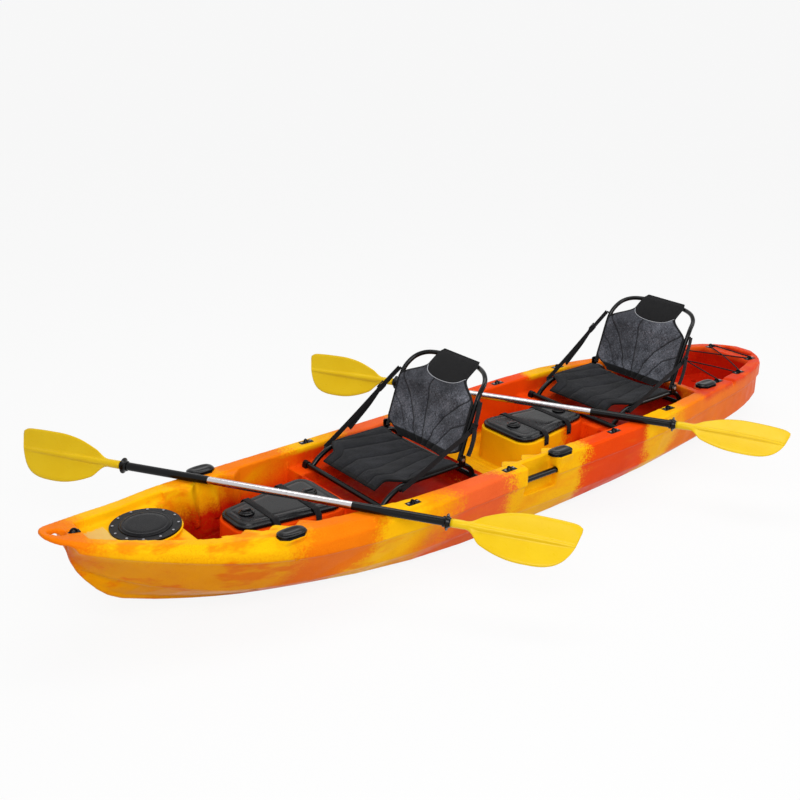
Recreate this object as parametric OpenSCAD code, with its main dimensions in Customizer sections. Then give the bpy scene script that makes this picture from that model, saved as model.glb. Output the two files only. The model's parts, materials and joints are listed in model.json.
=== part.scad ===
// Tandem sit-on-top kayak with two framed seats, two paddles and three hatches.
// +X points to the bow, +Y to port and +Z up; the origin is on the keel flat amidships.

/* [Hull] */
// Length of the hull from bow tip to stern
hull_length = 3860; // [3700:10:4000]
// Width of the hull over the gunwales
hull_beam = 844; // [830:1:870]
// Height of the gunwale amidships above the keel
gunwale_height = 318; // [310:1:330]
// Height of the bow tip above the keel
bow_height = 467; // [450:1:480]
// Flat width of the gunwale top amidships
rim_width = 62; // [58:1:66]
// Height of the upright band round the gunwale
rim_band = 75; // [60:1:85]
// Height of the footwell floor above the keel
footwell_floor = 110; // [100:1:125]
// Height of the ledge that carries the seats
seat_ledge = 248; // [240:1:252]
// Height of the tank well floor above the keel
tankwell_floor = 150; // [140:1:170]
// Diameter of a scupper hole
scupper_d = 30; // [24:1:36]

/* [Hatches] */
// Outer diameter of the round bow hatch
bow_hatch_d = 256; // [246:1:266]
// Length of a console lid
lid_length = 440; // [430:1:446]
// Width of a console lid at its wide end
lid_wide = 300; // [290:1:304]
// Width of a console lid at its narrow end
lid_narrow = 200; // [190:1:210]
// Thickness of a console lid
lid_thick = 24; // [20:1:26]
// Width of a lid strap
strap_w = 26; // [22:1:30]
// Diameter of a lid knob
knob_d = 62; // [54:1:66]

/* [Seats] */
// Distance from the front seat to the rear seat
seat_spacing = 1316; // [1310:1:1322]
// Distance between the centre lines of the seat's side tubes
seat_width = 480; // [474:1:484]
// Diameter of the seat tubes
seat_tube = 22; // [20:1:24]
// Height of the side rails above the keel
rail_height = 330; // [326:1:334]
// Length of the backrest frame from its hinge to its top bar
back_length = 362; // [356:1:366]
// Lean of the backrest away from upright
back_lean = 19; // [17:1:21]

/* [Paddles] */
// Length of a paddle from tip to tip
paddle_length = 2300; // [2240:2:2320]
// Diameter of the paddle shaft
shaft_d = 30; // [29:0.5:31]
// Width of a paddle blade
blade_width = 188; // [170:1:195]
// Length of a paddle blade with its neck
blade_length = 472; // [462:1:476]

/* [Fittings] */
// Bore of a rod holder
rod_bore = 42; // [40:0.5:44]
// Depth of a rod holder's tube under its flange
rod_depth = 150; // [120:1:160]
// Diameter of a side carrying bar
grip_d = 26; // [22:1:28]
// Diameter of the bungee cord
bungee_d = 6; // [5:0.5:6]

/* [Hidden] */

// Gap between surfaces of pieces that move apart
clear = 1.5;
// Small overlap that joins cutters and unions
lap = 1;
// How far cutters reach over the deck
above = 40;
// Rise of the bottom's edge over the keel and depth of the step under the spray chine
bottom_rise = 24;
chine_step = 9;
// Least step down from a well floor's edge to the chine, sideways
floor_margin = 34;
half_length = hull_length / 2;
half_beam = hull_beam / 2;
bow_rise = bow_height - gunwale_height;

// Each outline below is a list of [place along the hull from -1 at the stern to 1 at the bow, value].
// Half width of the gunwale's crest, as a part of the half beam
crest_line = [
    [-1, 0.10], [-0.991, 0.17], [-0.975, 0.28], [-0.937, 0.43], [-0.9, 0.50], [-0.83, 0.60],
    [-0.67, 0.74], [-0.44, 0.935], [-0.27, 0.97], [0.08, 0.94], [0.3, 0.93], [0.465, 0.865],
    [0.62, 0.77], [0.72, 0.67], [0.82, 0.49], [0.89, 0.365], [0.945, 0.245], [0.98, 0.15],
    [0.994, 0.09], [1, 0.03]
];
// Rise of the crest over the gunwale height, as a part of the bow's rise
sheer_line = [
    [-1, -0.14], [-0.93, -0.12], [-0.65, -0.03], [-0.45, 0.05], [-0.25, 0.03], [0.07, -0.01],
    [0.33, 0], [0.6, 0.17], [0.72, 0.31], [0.82, 0.48], [0.94, 0.78], [1, 1]
];
// Height of the keel, as a part of the gunwale height
keel_line = [
    [-1, 0.34], [-0.985, 0.25], [-0.95, 0.18], [-0.88, 0.11], [-0.79, 0.05], [-0.66, 0], [0.6, 0],
    [0.7, 0.045], [0.78, 0.17], [0.83, 0.285], [0.877, 0.405], [0.905, 0.55], [0.93, 0.74],
    [0.953, 1.02], [0.959, 1.31], [0.98, 1.35], [1, 1.42]
];
// Step from the crest out to the gunwale's outer edge
flare_line = [[-1, 8], [-0.5, 12], [0.1, 14], [0.35, 30], [0.55, 40], [0.75, 28], [0.9, 16], [1, 6]];
// Step from the crest down to the gunwale's outer edge
drop_line = [[-1, 5], [0.1, 6], [0.35, 26], [0.55, 40], [0.75, 30], [0.9, 16], [1, 8]];
// Half width of the flat bottom, as a part of the outer half width
bottom_line = [
    [-1, 0.7], [-0.93, 0.72], [-0.8, 0.67], [-0.45, 0.68], [0, 0.79], [0.15, 0.785], [0.35, 0.68],
    [0.5, 0.52], [0.64, 0.28], [0.72, 0.14], [0.8, 0.1], [1, 0.1]
];
// Half width of the spray chine, as a part of the outer half width
chine_line = [
    [-1, 0.95], [-0.9, 0.93], [-0.7, 0.9], [-0.45, 0.87], [0, 0.88], [0.3, 0.85], [0.47, 0.78],
    [0.705, 0.63], [0.83, 0.46], [0.94, 0.25], [1, 0.25]
];
// Height of the spray chine, as a part of the gunwale height
chine_height_line = [
    [-1, 0.42], [-0.93, 0.35], [-0.8, 0.25], [-0.45, 0.19], [0, 0.18], [0.47, 0.21], [0.705, 0.39],
    [0.83, 0.58], [0.94, 0.92], [1, 1.3]
];
// Height of the gunwale's upright band, as a part of its height amidships
band_line = [[-1, 0.85], [-0.5, 1], [0.2, 1], [0.5, 0.75], [0.7, 0.5], [0.9, 0.42], [1, 0.35]];

function span(pts, u, i = 0) = i >= len(pts) - 2 || u < pts[i + 1][0] ? i : span(pts, u, i + 1);
function rise(pts, i) =
    let (a = pts[max(i - 1, 0)], b = pts[min(i + 1, len(pts) - 1)])
    (b[1] - a[1]) / (b[0] - a[0]);
// Smooth curve through the points of an outline
function curve(pts, u) =
    let (i = span(pts, u), a = pts[i], b = pts[i + 1], h = b[0] - a[0], t = (u - a[0]) / h)
    a[1] * (1 + 2 * t) * (1 - t) * (1 - t) + b[1] * t * t * (3 - 2 * t)
    + h * rise(pts, i) * t * (1 - t) * (1 - t) - h * rise(pts, i + 1) * t * t * (1 - t);

function along(x) = min(1, max(-1, x / half_length));
function crest(x) = half_beam * curve(crest_line, along(x));
function sheer(x) = gunwale_height + bow_rise * curve(sheer_line, along(x));
function keel(x) = max(0, gunwale_height * curve(keel_line, along(x)));
function flare(x) = curve(flare_line, along(x));
function drop(x) = curve(drop_line, along(x));
function outer(x) = crest(x) + flare(x);
function rim(x) = rim_width * (along(x) < -0.5 ? 0.8 : 1);
// Half width of the cockpit and wells at the gunwale's inner edge and at their floors
function inner(x) = crest(x) - rim(x);
function floor_half(x, draft) = min(inner(x) - draft, outer(x) * curve(chine_line, along(x)) - floor_margin);

// Half of the hull's section at x, from keel to crest
function half_section(x) =
    let (
        w = outer(x), s = sheer(x), k = keel(x), deep = s - k,
        band = min(rim_band * curve(band_line, along(x)), 0.45 * deep), low = s - drop(x) - band,
        bottom_y = w * curve(bottom_line, along(x)),
        chine_y = w * curve(chine_line, along(x)),
        chine_free = gunwale_height * curve(chine_height_line, along(x)),
        chine_z = min(max(chine_free, k + 0.4 * (low - k)), low - min(8, 0.3 * (low - k))),
        bottom_z = k + min(bottom_rise, 0.3 * (chine_z - k)),
        step = min(chine_step, 0.2 * (chine_z - bottom_z))
    )
    [
        [0, k], [0.25 * bottom_y, k], [0.85 * bottom_y, k + 0.4 * (bottom_z - k)], [bottom_y, bottom_z],
        [chine_y - step, chine_z - step], [chine_y, chine_z],
        [w - min(11, 0.2 * w), low - min(6, 0.2 * (low - k))], [w, low], [w, s - drop(x)], [w - flare(x), s]
    ];
function mirrored(pts) = [for (i = [len(pts) - 1:-1:0]) if (pts[i][0] > 0) [-pts[i][0], pts[i][1]]];
function section(x) = [for (p = concat(half_section(x), mirrored(half_section(x)))) [x, p[0], p[1]]];

hull_stations = concat(
    [-1, -0.996, -0.99, -0.98, -0.965], [for (u = [-0.94:0.04:-0.62]) u], [for (u = [-0.54:0.12:0.54]) u],
    [for (u = [0.6:0.04:0.84]) u],
    [0.865, 0.89, 0.91, 0.93, 0.943, 0.953, 0.959, 0.967, 0.975, 0.984, 0.992, 0.997, 1]
);

// Closed solid through a row of rings, each with the same number of points
module loft(rings) {
    m = len(rings[0]);
    n = len(rings);
    sides = [
        for (i = [0:n - 2], j = [0:m - 1], k = [0, 1])
            let (a = i * m + j, b = i * m + (j + 1) % m)
            k == 0 ? [a + m, b + m, b] : [a + m, b, a]
    ];
    caps = [
        for (j = [1:m - 2], k = [0, 1])
            k == 0 ? [0, j, j + 1] : [(n - 1) * m, (n - 1) * m + j + 1, (n - 1) * m + j]
    ];
    polyhedron([for (r = rings, p = r) p], concat(sides, caps));
}

// Unit vectors along and across a path, for sweeping a section along it
function unit(v) = v / max(norm(v), 0.0001);
function heading(path, i) = unit(path[min(i + 1, len(path) - 1)] - path[max(i - 1, 0)]);
function across(d) = unit(abs(d[2]) > 0.9 ? cross(d, [0, 1, 0]) : cross([0, 0, 1], d));
function ring_at(p, d, shape) =
    let (s = across(d), t = cross(d, s))
    [for (q = shape) p + q[0] * s + q[1] * t];
function round_shape(r, sides) = [for (j = [0:sides - 1]) r * [cos(j * 360 / sides), sin(j * 360 / sides)]];
function swept(path, shape) = [for (i = [0:len(path) - 1]) ring_at(path[i], heading(path, i), shape)];
// Smooth path through hand-placed points
function spline_point(p, i, t) =
    let (
        n = len(p) - 1, a = p[max(i - 1, 0)], b = p[i], c = p[min(i + 1, n)], d = p[min(i + 2, n)],
        bend = 2 * a - 5 * b + 4 * c - d, twist = 3 * b - a - 3 * c + d
    )
    0.5 * (2 * b + (c - a) * t + bend * t * t + twist * t * t * t);
function spline(p, steps) = concat(
    [for (i = [0:len(p) - 2], k = [0:steps - 1]) spline_point(p, i, k / steps)], [p[len(p) - 1]]
);
module tube(path, d, sides = 12) {
    loft(swept(path, round_shape(d / 2, sides)));
}

// Places of the fittings on the hull
console_front_x = 995;
console_rear_x = -393;
console_top = 262;
console_margin = 9;
console_corner = 62;
console_spread = 10;
console_wall = 26;
console_pocket_low = 60;
gasket_h = 3;
lid_z = console_top + gasket_h;
lid_top = lid_z + lid_thick;
knob_reach = 143;
strap_reach = 84;
knob_h = 16;
knob_gap = 0.3;
bow_hatch_x = half_length - 380;
bow_deck_drop = 34;
bow_deck = [half_length - 560, half_length - 144];
bow_deck_margin = 14;
bow_deck_draft = 12;
bow_hatch_z = sheer(bow_hatch_x) - 18;
// Diameters of the moulded seat under the hatch at its foot and at its top
bow_boss = [bow_hatch_d - 100, bow_hatch_d + 14];
bow_boss_low = 215;
hatch_pocket_low = 240;
hatch_ring_w = 32;
hatch_ring_h = 8;
hatch_gasket = [7, 4];
hatch_lid_h = 7;
hatch_crown_h = 4;
hatch_pocket_r = bow_hatch_d / 2 - hatch_ring_w;
loop_x = half_length - 48;
loop_r = 17;
bow_fitting_x = half_length - 116;
bow_fitting_base = [44, 22, 4];
bow_fitting_r = 11;
bow_fitting_bar = 4;
bow_fitting_z = sheer(bow_fitting_x - bow_fitting_base[0] / 2) - 1;
front_well = [745, 1430];
front_bay = [150, 760];
rear_well = [-610, 165];
rear_bay = [-1165, -570];
// Sunken floor under each seat: ends along the hull, height and half width
bay_trenches = [[180, 730], [-1135, -670]];
bay_trench = 190;
bay_trench_w = 228;
pit_corner = 14;
tank_well = [155 - half_length, -1200];
// Slot at the stern: [place along the hull, half reach, radius, depth]
stern_slot = [62 - half_length, 72, 18, 42];
notch_x = -1438;
notch_r = 14;
grip_recess = [-130, 52];
grip_recess_floor = 178;
grip_hollow = 52;
grip_slope = 30;
grip_socket = 10;
grip_y = outer(-40) - 18;
grip_z = 254;
step_places = [1045, 1150, 1255, 80, -30, -140];
step_size = 44;
step_low = 172;
step_drop = 14;
// Inward lean of the walls and slope of the end walls, for footwells, seat bays and the tank well
well_draft = 26;
well_slope = 38;
bay_draft = 8;
bay_slope = 4;
tank_draft = 22;
tank_slope = 14;
// Heel ribs: width and pitch along the hull, reach across it and height
heel_rib_x = -130;
heel_rib_w = 12;
heel_rib_pitch = 26;
heel_rib_reach = 300;
heel_rib_h = 6;
scupper_places = [[1230, 190], [830, 205], [-40, 215], [-535, 215], [-1330, 120], [-1650, 90]];
// Rod holders: [place along the hull, distance from the middle, lean aft, lean outboard, depth of boss]
rod_places = [[1149, 333, 22, 26, 95], [-153, 385, -14, 14, 160], [-1286, 251, 18, 0, 170]];
rod_flange = [116, 74];
rod_flange_h = 6;
rod_seat_drop = 1;
rod_wall = 3;
// Height of the taper at the bore's foot and depth of the wider lead-in at its mouth
rod_foot = 4;
rod_lead = 8;
rod_cap_h = 12;
rod_cap_gap = 0.6;
// Pad eyes: [place along the hull, distance from the middle]
pad_places = [[622, 366], [125, 372], [-495, 375], [-883, 352], [-1380, 245], [-1581, 222], [-1811, 123]];
pad_base = [62, 30, 3];
pad_seat_drop = 3;
pad_eye_r = 11;
pad_bar = 3.5;
screw_d = 9;
screw_h = 3;

// Colours of the moulded hull and its fittings
hull_yellow = [0.95, 0.72, 0.12];
plastic_black = [0.08, 0.08, 0.09];
fabric_black = [0.13, 0.13, 0.14];
metal = [0.75, 0.76, 0.78];
blade_yellow = [0.95, 0.8, 0.12];

module both_sides() {
    children();
    mirror([0, 1, 0]) children();
}

// Cutter for a well that follows the gunwale's inner edge
module well(ends, floor_z, draft, slope) {
    steps = ceil((ends[1] - ends[0]) / 70);
    loft([
        for (i = [0:steps])
            let (
                t = i / steps,
                top_x = ends[0] + t * (ends[1] - ends[0]),
                low_x = ends[0] + slope + t * (ends[1] - ends[0] - 2 * slope)
            )
            [
                [low_x, -floor_half(low_x, draft), floor_z], [low_x, floor_half(low_x, draft), floor_z],
                [top_x, inner(top_x), sheer(top_x) + above], [top_x, -inner(top_x), sheer(top_x) + above]
            ]
    ]);
}

module bow_deck_recess() {
    steps = 7;
    loft([
        for (i = [0:steps])
            let (
                x = bow_deck[0] + i * (bow_deck[1] - bow_deck[0]) / steps,
                y = inner(x) + bow_deck_margin, low_y = y - bow_deck_draft, low_z = sheer(x) - bow_deck_drop
            )
            [[x, -low_y, low_z], [x, low_y, low_z], [x, y, sheer(x) + above], [x, -y, sheer(x) + above]]
    ]);
}

// Outline of a console lid as four corner circles; the wide end points aft on the front console
module lid_plate(grow, low, high, way) {
    r = console_corner + grow;
    hull() {
        for (y = [-1, 1]) {
            translate([way * (lid_length / 2 - console_corner), y * (lid_narrow / 2 - console_corner), low])
                cylinder(r = r, h = high - low, $fn = 32);
            translate([-way * (lid_length / 2 - console_corner), y * (lid_wide / 2 - console_corner), low])
                cylinder(r = r, h = high - low, $fn = 32);
        }
    }
}

module console_body(x, way) {
    translate([x, 0, 0])
        hull() {
            lid_plate(console_margin, console_top - lap, console_top, way);
            lid_plate(console_margin + console_spread, footwell_floor - 20, footwell_floor - 19, way);
        }
}

module console_pocket(x, way) {
    translate([x, 0, 0]) lid_plate(-console_wall, console_pocket_low, console_top + lap, way);
}

// Wedge on the cockpit wall for a heel
module step_outline(x, fore, mid, aft) {
    polygon([
        [x + 62, fore + 8], [x - 46, aft + 8], [x - 46, aft - 4],
        [x + 4, mid - step_size], [x + 16, mid - step_size], [x + 56, fore - 2]
    ]);
}
module heel_step(x) {
    part = (step_low - footwell_floor) / (sheer(x) - footwell_floor);
    wall = floor_half(x, well_draft) + part * (inner(x) - floor_half(x, well_draft));
    hull() {
        translate([0, 0, sheer(x) - step_drop])
            linear_extrude(lap) step_outline(x, inner(x + 62), inner(x), inner(x - 46));
        translate([x - 26, wall - 14, step_low]) cube([20, 20, lap]);
    }
}

// Low ribs under the heels ahead of the rear console
module heel_ribs() {
    for (i = [0:5])
        translate([heel_rib_x + i * heel_rib_pitch, -heel_rib_reach / 2, footwell_floor - lap])
            cube([heel_rib_w, heel_rib_reach, heel_rib_h + lap]);
}

// Outline of a rod holder's flange, a rectangle with cut corners
module rod_outline(grow) {
    a = rod_flange[0] / 2 + grow;
    b = rod_flange[1] / 2 + grow;
    c = 0.55 * a;
    d = 0.35 * b;
    polygon([[a, -d], [a, d], [c, b], [-c, b], [-a, d], [-a, -d], [-c, -b], [c, -b]]);
}
function rod_seat(p) = sheer(p[0]) - rod_seat_drop;
module rod_boss(p) {
    translate([p[0], p[1], rod_seat(p)])
        hull() {
            translate([0, 0, -lap]) linear_extrude(lap) rod_outline(5);
            translate([p[4] * tan(p[2]), -p[4] * tan(p[3]), -p[4]]) linear_extrude(lap) rod_outline(-6);
        }
}
module rod_axis(p) {
    translate([p[0], p[1], rod_seat(p)]) rotate([-p[3], -p[2], 0]) children();
}
module rod_room(p) {
    translate([p[0], p[1], rod_seat(p)]) linear_extrude(above) rod_outline(1);
    rod_axis(p)
        translate([0, 0, -rod_depth - 4])
            cylinder(d = rod_bore + 2 * rod_wall + 2 * clear, h = rod_depth + above, $fn = 24);
}

function pad_seat(p) = sheer(p[0]) - pad_seat_drop;
module pad_room(p) {
    translate([p[0] - pad_base[0] / 2 - 2, p[1] - pad_base[1] / 2 - 2, pad_seat(p)])
        cube([pad_base[0] + 4, pad_base[1] + 4, above]);
}

// Recess in the gunwale for the hand behind a carrying bar
module grip_room() {
    y = outer(0) - grip_hollow;
    long = grip_recess[1] - grip_recess[0];
    hull() {
        translate([grip_recess[0], y, grip_recess_floor]) cube([long, 200, lap]);
        translate([grip_recess[0] + grip_slope, y, sheer(0) + above]) cube([long - grip_slope, 200, lap]);
    }
    translate([grip_recess[0] - grip_socket, grip_y, grip_z])
        rotate([0, 90, 0]) cylinder(d = grip_d + 1, h = long + 2 * grip_socket, $fn = 24);
}

module bow_loop() {
    hull() {
        translate([loop_x - 14, 0, 300]) cylinder(r = loop_r + 9, h = 260, $fn = 24);
        translate([loop_x + 10, 0, 300]) cylinder(r = loop_r - 3, h = 260, $fn = 24);
    }
}

module stern_grip() {
    hull()
        for (y = [-1, 1])
            translate([stern_slot[0], y * stern_slot[1], sheer(stern_slot[0]) - stern_slot[3]])
                cylinder(r = stern_slot[2], h = stern_slot[3] + above, $fn = 24);
}

// Scallop across the gunwale beside the tank well
module rim_notch() {
    hull() {
        translate([notch_x, inner(notch_x) - 10, sheer(notch_x) + 4]) sphere(r = notch_r, $fn = 16);
        translate([notch_x - 26, outer(notch_x) + 12, sheer(notch_x) - notch_r])
            sphere(r = notch_r, $fn = 16);
    }
}

module rounded_pit(ends, half_width, low, high) {
    hull()
        for (x = [ends[0] + pit_corner, ends[1] - pit_corner], y = [-1, 1])
            translate([x, y * (half_width - pit_corner), low])
                cylinder(r = pit_corner, h = high - low, $fn = 16);
}

module kayak_hull() {
    color(hull_yellow) {
        difference() {
            union() {
                difference() {
                    loft([for (u = hull_stations) section(u * half_length)]);
                    well(front_well, footwell_floor, well_draft, well_slope);
                    well(rear_well, footwell_floor, well_draft, well_slope);
                    well(front_bay, seat_ledge, bay_draft, bay_slope);
                    well(rear_bay, seat_ledge, bay_draft, bay_slope);
                    well(tank_well, tankwell_floor, tank_draft, tank_slope);
                    bow_deck_recess();
                }
                console_body(console_front_x, 1);
                console_body(console_rear_x, -1);
                both_sides() for (x = step_places) heel_step(x);
                heel_ribs();
                both_sides() for (p = rod_places) rod_boss(p);
                translate([bow_hatch_x, 0, bow_boss_low])
                    cylinder(d1 = bow_boss[0], d2 = bow_boss[1], h = bow_hatch_z - bow_boss_low, $fn = 48);
            }
            for (b = bay_trenches) rounded_pit(b, bay_trench_w, bay_trench, sheer(0) + above);
            console_pocket(console_front_x, 1);
            console_pocket(console_rear_x, -1);
            translate([bow_hatch_x, 0, hatch_pocket_low]) cylinder(r = hatch_pocket_r, h = 300, $fn = 48);
            translate([bow_hatch_x, 0, bow_hatch_z]) cylinder(d = bow_hatch_d + 2 * clear, h = 300, $fn = 48);
            both_sides() for (p = rod_places) rod_room(p);
            both_sides() for (p = pad_places) pad_room(p);
            both_sides() grip_room();
            both_sides() rim_notch();
            both_sides()
                for (p = scupper_places)
                    translate([p[0], p[1], -lap]) cylinder(d = scupper_d, h = tankwell_floor + 20, $fn = 20);
            translate([bow_fitting_x, 0, bow_fitting_z])
                translate([-bow_fitting_base[0] / 2 - 2, -bow_fitting_base[1] / 2 - 2, 0])
                    cube([bow_fitting_base[0] + 4, bow_fitting_base[1] + 4, above]);
            bow_loop();
            stern_grip();
        }
    }
}

module bow_hatch_rim() {
    color(plastic_black)
        translate([bow_hatch_x, 0, bow_hatch_z])
            difference() {
                cylinder(d = bow_hatch_d, h = hatch_ring_h, $fn = 96);
                translate([0, 0, -lap]) cylinder(r = hatch_pocket_r, h = hatch_ring_h + 2 * lap, $fn = 96);
            }
}

module bow_hatch_gasket() {
    color(plastic_black)
        translate([bow_hatch_x, 0, bow_hatch_z])
            difference() {
                cylinder(r = hatch_pocket_r, h = hatch_gasket[1], $fn = 96);
                translate([0, 0, -lap])
                    cylinder(r = hatch_pocket_r - hatch_gasket[0], h = hatch_gasket[1] + 2 * lap, $fn = 96);
            }
}

module bow_hatch_lid() {
    color(plastic_black)
        translate([bow_hatch_x, 0, bow_hatch_z + hatch_gasket[1] + 0.5]) {
            cylinder(r = hatch_pocket_r - 1, h = hatch_lid_h, $fn = 96);
            translate([0, 0, hatch_lid_h])
                cylinder(r1 = hatch_pocket_r - 8, r2 = hatch_pocket_r - 12, h = hatch_crown_h, $fn = 96);
        }
}

module console_lid(x, way) {
    color(plastic_black)
        translate([x, 0, 0]) {
            lid_plate(0, lid_z, lid_z + 0.6 * lid_thick, way);
            lid_plate(-9, lid_z + 0.6 * lid_thick, lid_top, way);
        }
}
module front_console_lid() { console_lid(console_front_x, 1); }
module rear_console_lid() { console_lid(console_rear_x, -1); }

module gasket_ring(x, way) {
    translate([x, 0, 0])
        difference() {
            lid_plate(-6, console_top, lid_z, way);
            lid_plate(-18, console_top - lap, lid_z + lap, way);
        }
}
module console_gaskets() {
    color(plastic_black) {
        gasket_ring(console_front_x, 1);
        gasket_ring(console_rear_x, -1);
    }
}

// Half width of a lid's edge at a distance from its middle towards its narrow end
function lid_edge(along_lid) =
    let (run = lid_length - 2 * console_corner, t = (along_lid + run / 2) / run)
    lid_wide / 2 + t * (lid_narrow - lid_wide) / 2 + 2;
strap_t = 2.4;
// Room between a strap's fall and the console's side
strap_gap = 0.6;
strap_fall = 36;
// Webbing strap over a lid, with a snap cap at each end
module lid_strap(way, place) {
    y = lid_edge(place) + console_margin + strap_t + strap_gap;
    shoulder = lid_edge(place) - 8;
    both_sides()
        translate([way * place - strap_w / 2, 0, 0])
            rotate([90, 0, 90])
                linear_extrude(strap_w)
                    polygon([
                        [0, lid_top], [shoulder, lid_top], [y, lid_z], [y, lid_z - strap_fall],
                        [y + strap_t, lid_z - strap_fall], [y + strap_t, lid_z + 1],
                        [shoulder + 1, lid_top + strap_t], [0, lid_top + strap_t]
                    ]);
    both_sides()
        translate([way * place, y + strap_t, lid_z - strap_fall + 9])
            rotate([-90, 0, 0]) cylinder(d = 9, h = 2.5, $fn = 24);
}
module console_straps(x, way) {
    color(plastic_black)
        translate([x, 0, 0])
            for (p = [-strap_reach, strap_reach]) lid_strap(way, p);
}
module front_console_straps() { console_straps(console_front_x, 1); }
module rear_console_straps() { console_straps(console_rear_x, -1); }

// Round lid knob with a raised grip bar
module lid_knob(x) {
    color(plastic_black)
        translate([x, 0, lid_top + knob_gap]) {
            cylinder(d = knob_d, h = 6, $fn = 48);
            translate([0, 0, 6]) cylinder(d1 = knob_d - 10, d2 = knob_d - 18, h = knob_h - 10, $fn = 48);
            translate([-knob_d * 0.3, -6, knob_h - 4]) cube([knob_d * 0.6, 12, 4]);
        }
}
module front_lid_knob_fore() { lid_knob(console_front_x + knob_reach); }
module front_lid_knob_aft() { lid_knob(console_front_x - knob_reach); }
module rear_lid_knob_fore() { lid_knob(console_rear_x + knob_reach); }
module rear_lid_knob_aft() { lid_knob(console_rear_x - knob_reach); }

module rod_holder(p) {
    difference() {
        union() {
            translate([p[0], p[1], rod_seat(p)]) linear_extrude(rod_flange_h) rod_outline(0);
            difference() {
                rod_axis(p)
                    translate([0, 0, -rod_depth])
                        cylinder(d = rod_bore + 2 * rod_wall, h = rod_depth, $fn = 48);
                translate([p[0] - 150, p[1] - 150, rod_seat(p)]) cube([300, 300, above]);
            }
        }
        rod_axis(p) {
            translate([0, 0, rod_foot - rod_depth + rod_wall])
                cylinder(d = rod_bore, h = rod_depth + above, $fn = 48);
            translate([0, 0, rod_wall - rod_depth])
                cylinder(d1 = rod_bore - 8, d2 = rod_bore, h = rod_foot, $fn = 48);
            translate([0, 0, -rod_lead]) cylinder(d = rod_bore + 2, h = rod_lead + above, $fn = 48);
        }
    }
}
module rod_holders() {
    color(plastic_black) both_sides() for (p = rod_places) rod_holder(p);
}

// Glossy cover over a rod holder, hinged at its fore end
module rod_cap(p) {
    color(plastic_black)
        translate([p[0], p[1], rod_seat(p) + rod_flange_h + rod_cap_gap]) {
            linear_extrude(rod_cap_h / 2) rod_outline(-2);
            translate([0, 0, rod_cap_h / 2])
                linear_extrude(rod_cap_h / 2, scale = 0.72) rod_outline(-4);
        }
}
module rod_cap_bow_port() { rod_cap(rod_places[0]); }
module rod_cap_bow_starboard() { mirror([0, 1, 0]) rod_cap(rod_places[0]); }
module rod_cap_mid_port() { rod_cap(rod_places[1]); }
module rod_cap_mid_starboard() { mirror([0, 1, 0]) rod_cap(rod_places[1]); }
module rod_cap_stern_port() { rod_cap(rod_places[2]); }
module rod_cap_stern_starboard() { mirror([0, 1, 0]) rod_cap(rod_places[2]); }

module side_grips() {
    color(plastic_black)
        both_sides()
            translate([grip_recess[0] - grip_socket, grip_y, grip_z])
                rotate([0, 90, 0])
                    cylinder(d = grip_d, h = grip_recess[1] - grip_recess[0] + 2 * grip_socket, $fn = 32);
}

module pad_eye(p) {
    translate([p[0], p[1], pad_seat(p)]) {
        translate([-pad_base[0] / 2, -pad_base[1] / 2, 0]) cube(pad_base);
        translate([0, 0, pad_base[2]])
            rotate([90, 0, 90])
                rotate_extrude(angle = 180, $fn = 32)
                    translate([pad_eye_r, 0]) circle(r = pad_bar, $fn = 16);
    }
}
module pad_eyes() {
    color(plastic_black) both_sides() for (p = pad_places) pad_eye(p);
}

module deck_screws() {
    color(metal) {
        both_sides()
            for (p = pad_places, i = [-1, 1])
                translate([p[0] + i * (pad_base[0] / 2 - 9), p[1], pad_seat(p) + pad_base[2]])
                    cylinder(d = screw_d, h = screw_h, $fn = 24);
        for (a = [0:30:330])
            translate([bow_hatch_x, 0, bow_hatch_z + hatch_ring_h])
                rotate([0, 0, a])
                    translate([bow_hatch_d / 2 - 12, 0, 0]) cylinder(d = screw_d, h = screw_h, $fn = 24);
    }
}

module bow_fitting() {
    color(plastic_black)
        translate([bow_fitting_x, 0, bow_fitting_z]) {
            translate([-bow_fitting_base[0] / 2, -bow_fitting_base[1] / 2, 0]) cube(bow_fitting_base);
            translate([0, 0, bow_fitting_base[2]])
                rotate([90, 0, 0])
                    rotate_extrude(angle = 180, $fn = 32)
                        translate([bow_fitting_r, 0]) circle(r = bow_fitting_bar, $fn = 16);
        }
}

// Bungee route over the tank well; each anchor is a pad eye that the cord turns in
cord_lift = pad_base[2] + bungee_d / 2 + 0.6;
// The cord's turn through an eye: [along the hull, inboard]
cord_turn = [[16, 7], [8, 1.6], [0, 0], [-8, 1.6], [-16, 7]];
// Each anchor: [pad eye, side, way along the hull, rise over the other pass on the run to the next anchor]
cord_over = 1.5 * bungee_d;
anchors = [
    [pad_places[4], 1, 1, 0], [pad_places[5], -1, 1, 0], [pad_places[6], 1, 1, 0],
    [pad_places[6], -1, -1, cord_over], [pad_places[5], 1, -1, cord_over], [pad_places[4], -1, -1, 0]
];
function anchor_turn(a) =
    [for (c = cord_turn) [a[0][0] + a[2] * c[0], a[1] * (a[0][1] - c[1]), pad_seat(a[0]) + cord_lift]];
function cord_run(a, b, over) =
    [for (k = [1:6]) a + (b - a) * k / 7 + [0, 0, over * sin(180 * k / 7)]];
bungee_path = [
    for (i = [0:len(anchors) - 1])
        each i == len(anchors) - 1
            ? anchor_turn(anchors[i])
            : concat(
                anchor_turn(anchors[i]),
                cord_run(anchor_turn(anchors[i])[4], anchor_turn(anchors[i + 1])[0], anchors[i][3])
            )
];
module bungee() {
    color(plastic_black) tube(bungee_path, bungee_d, 8);
}

// Seat places and shapes, measured from the backrest hinge at [x, 0, z]
seat_x = 275;
hinge_z = rail_height + seat_tube / 2 + 17;
bar_z = seat_ledge + seat_tube / 2 + 3;
bar_front = 403;
bar_rear = -68;
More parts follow.
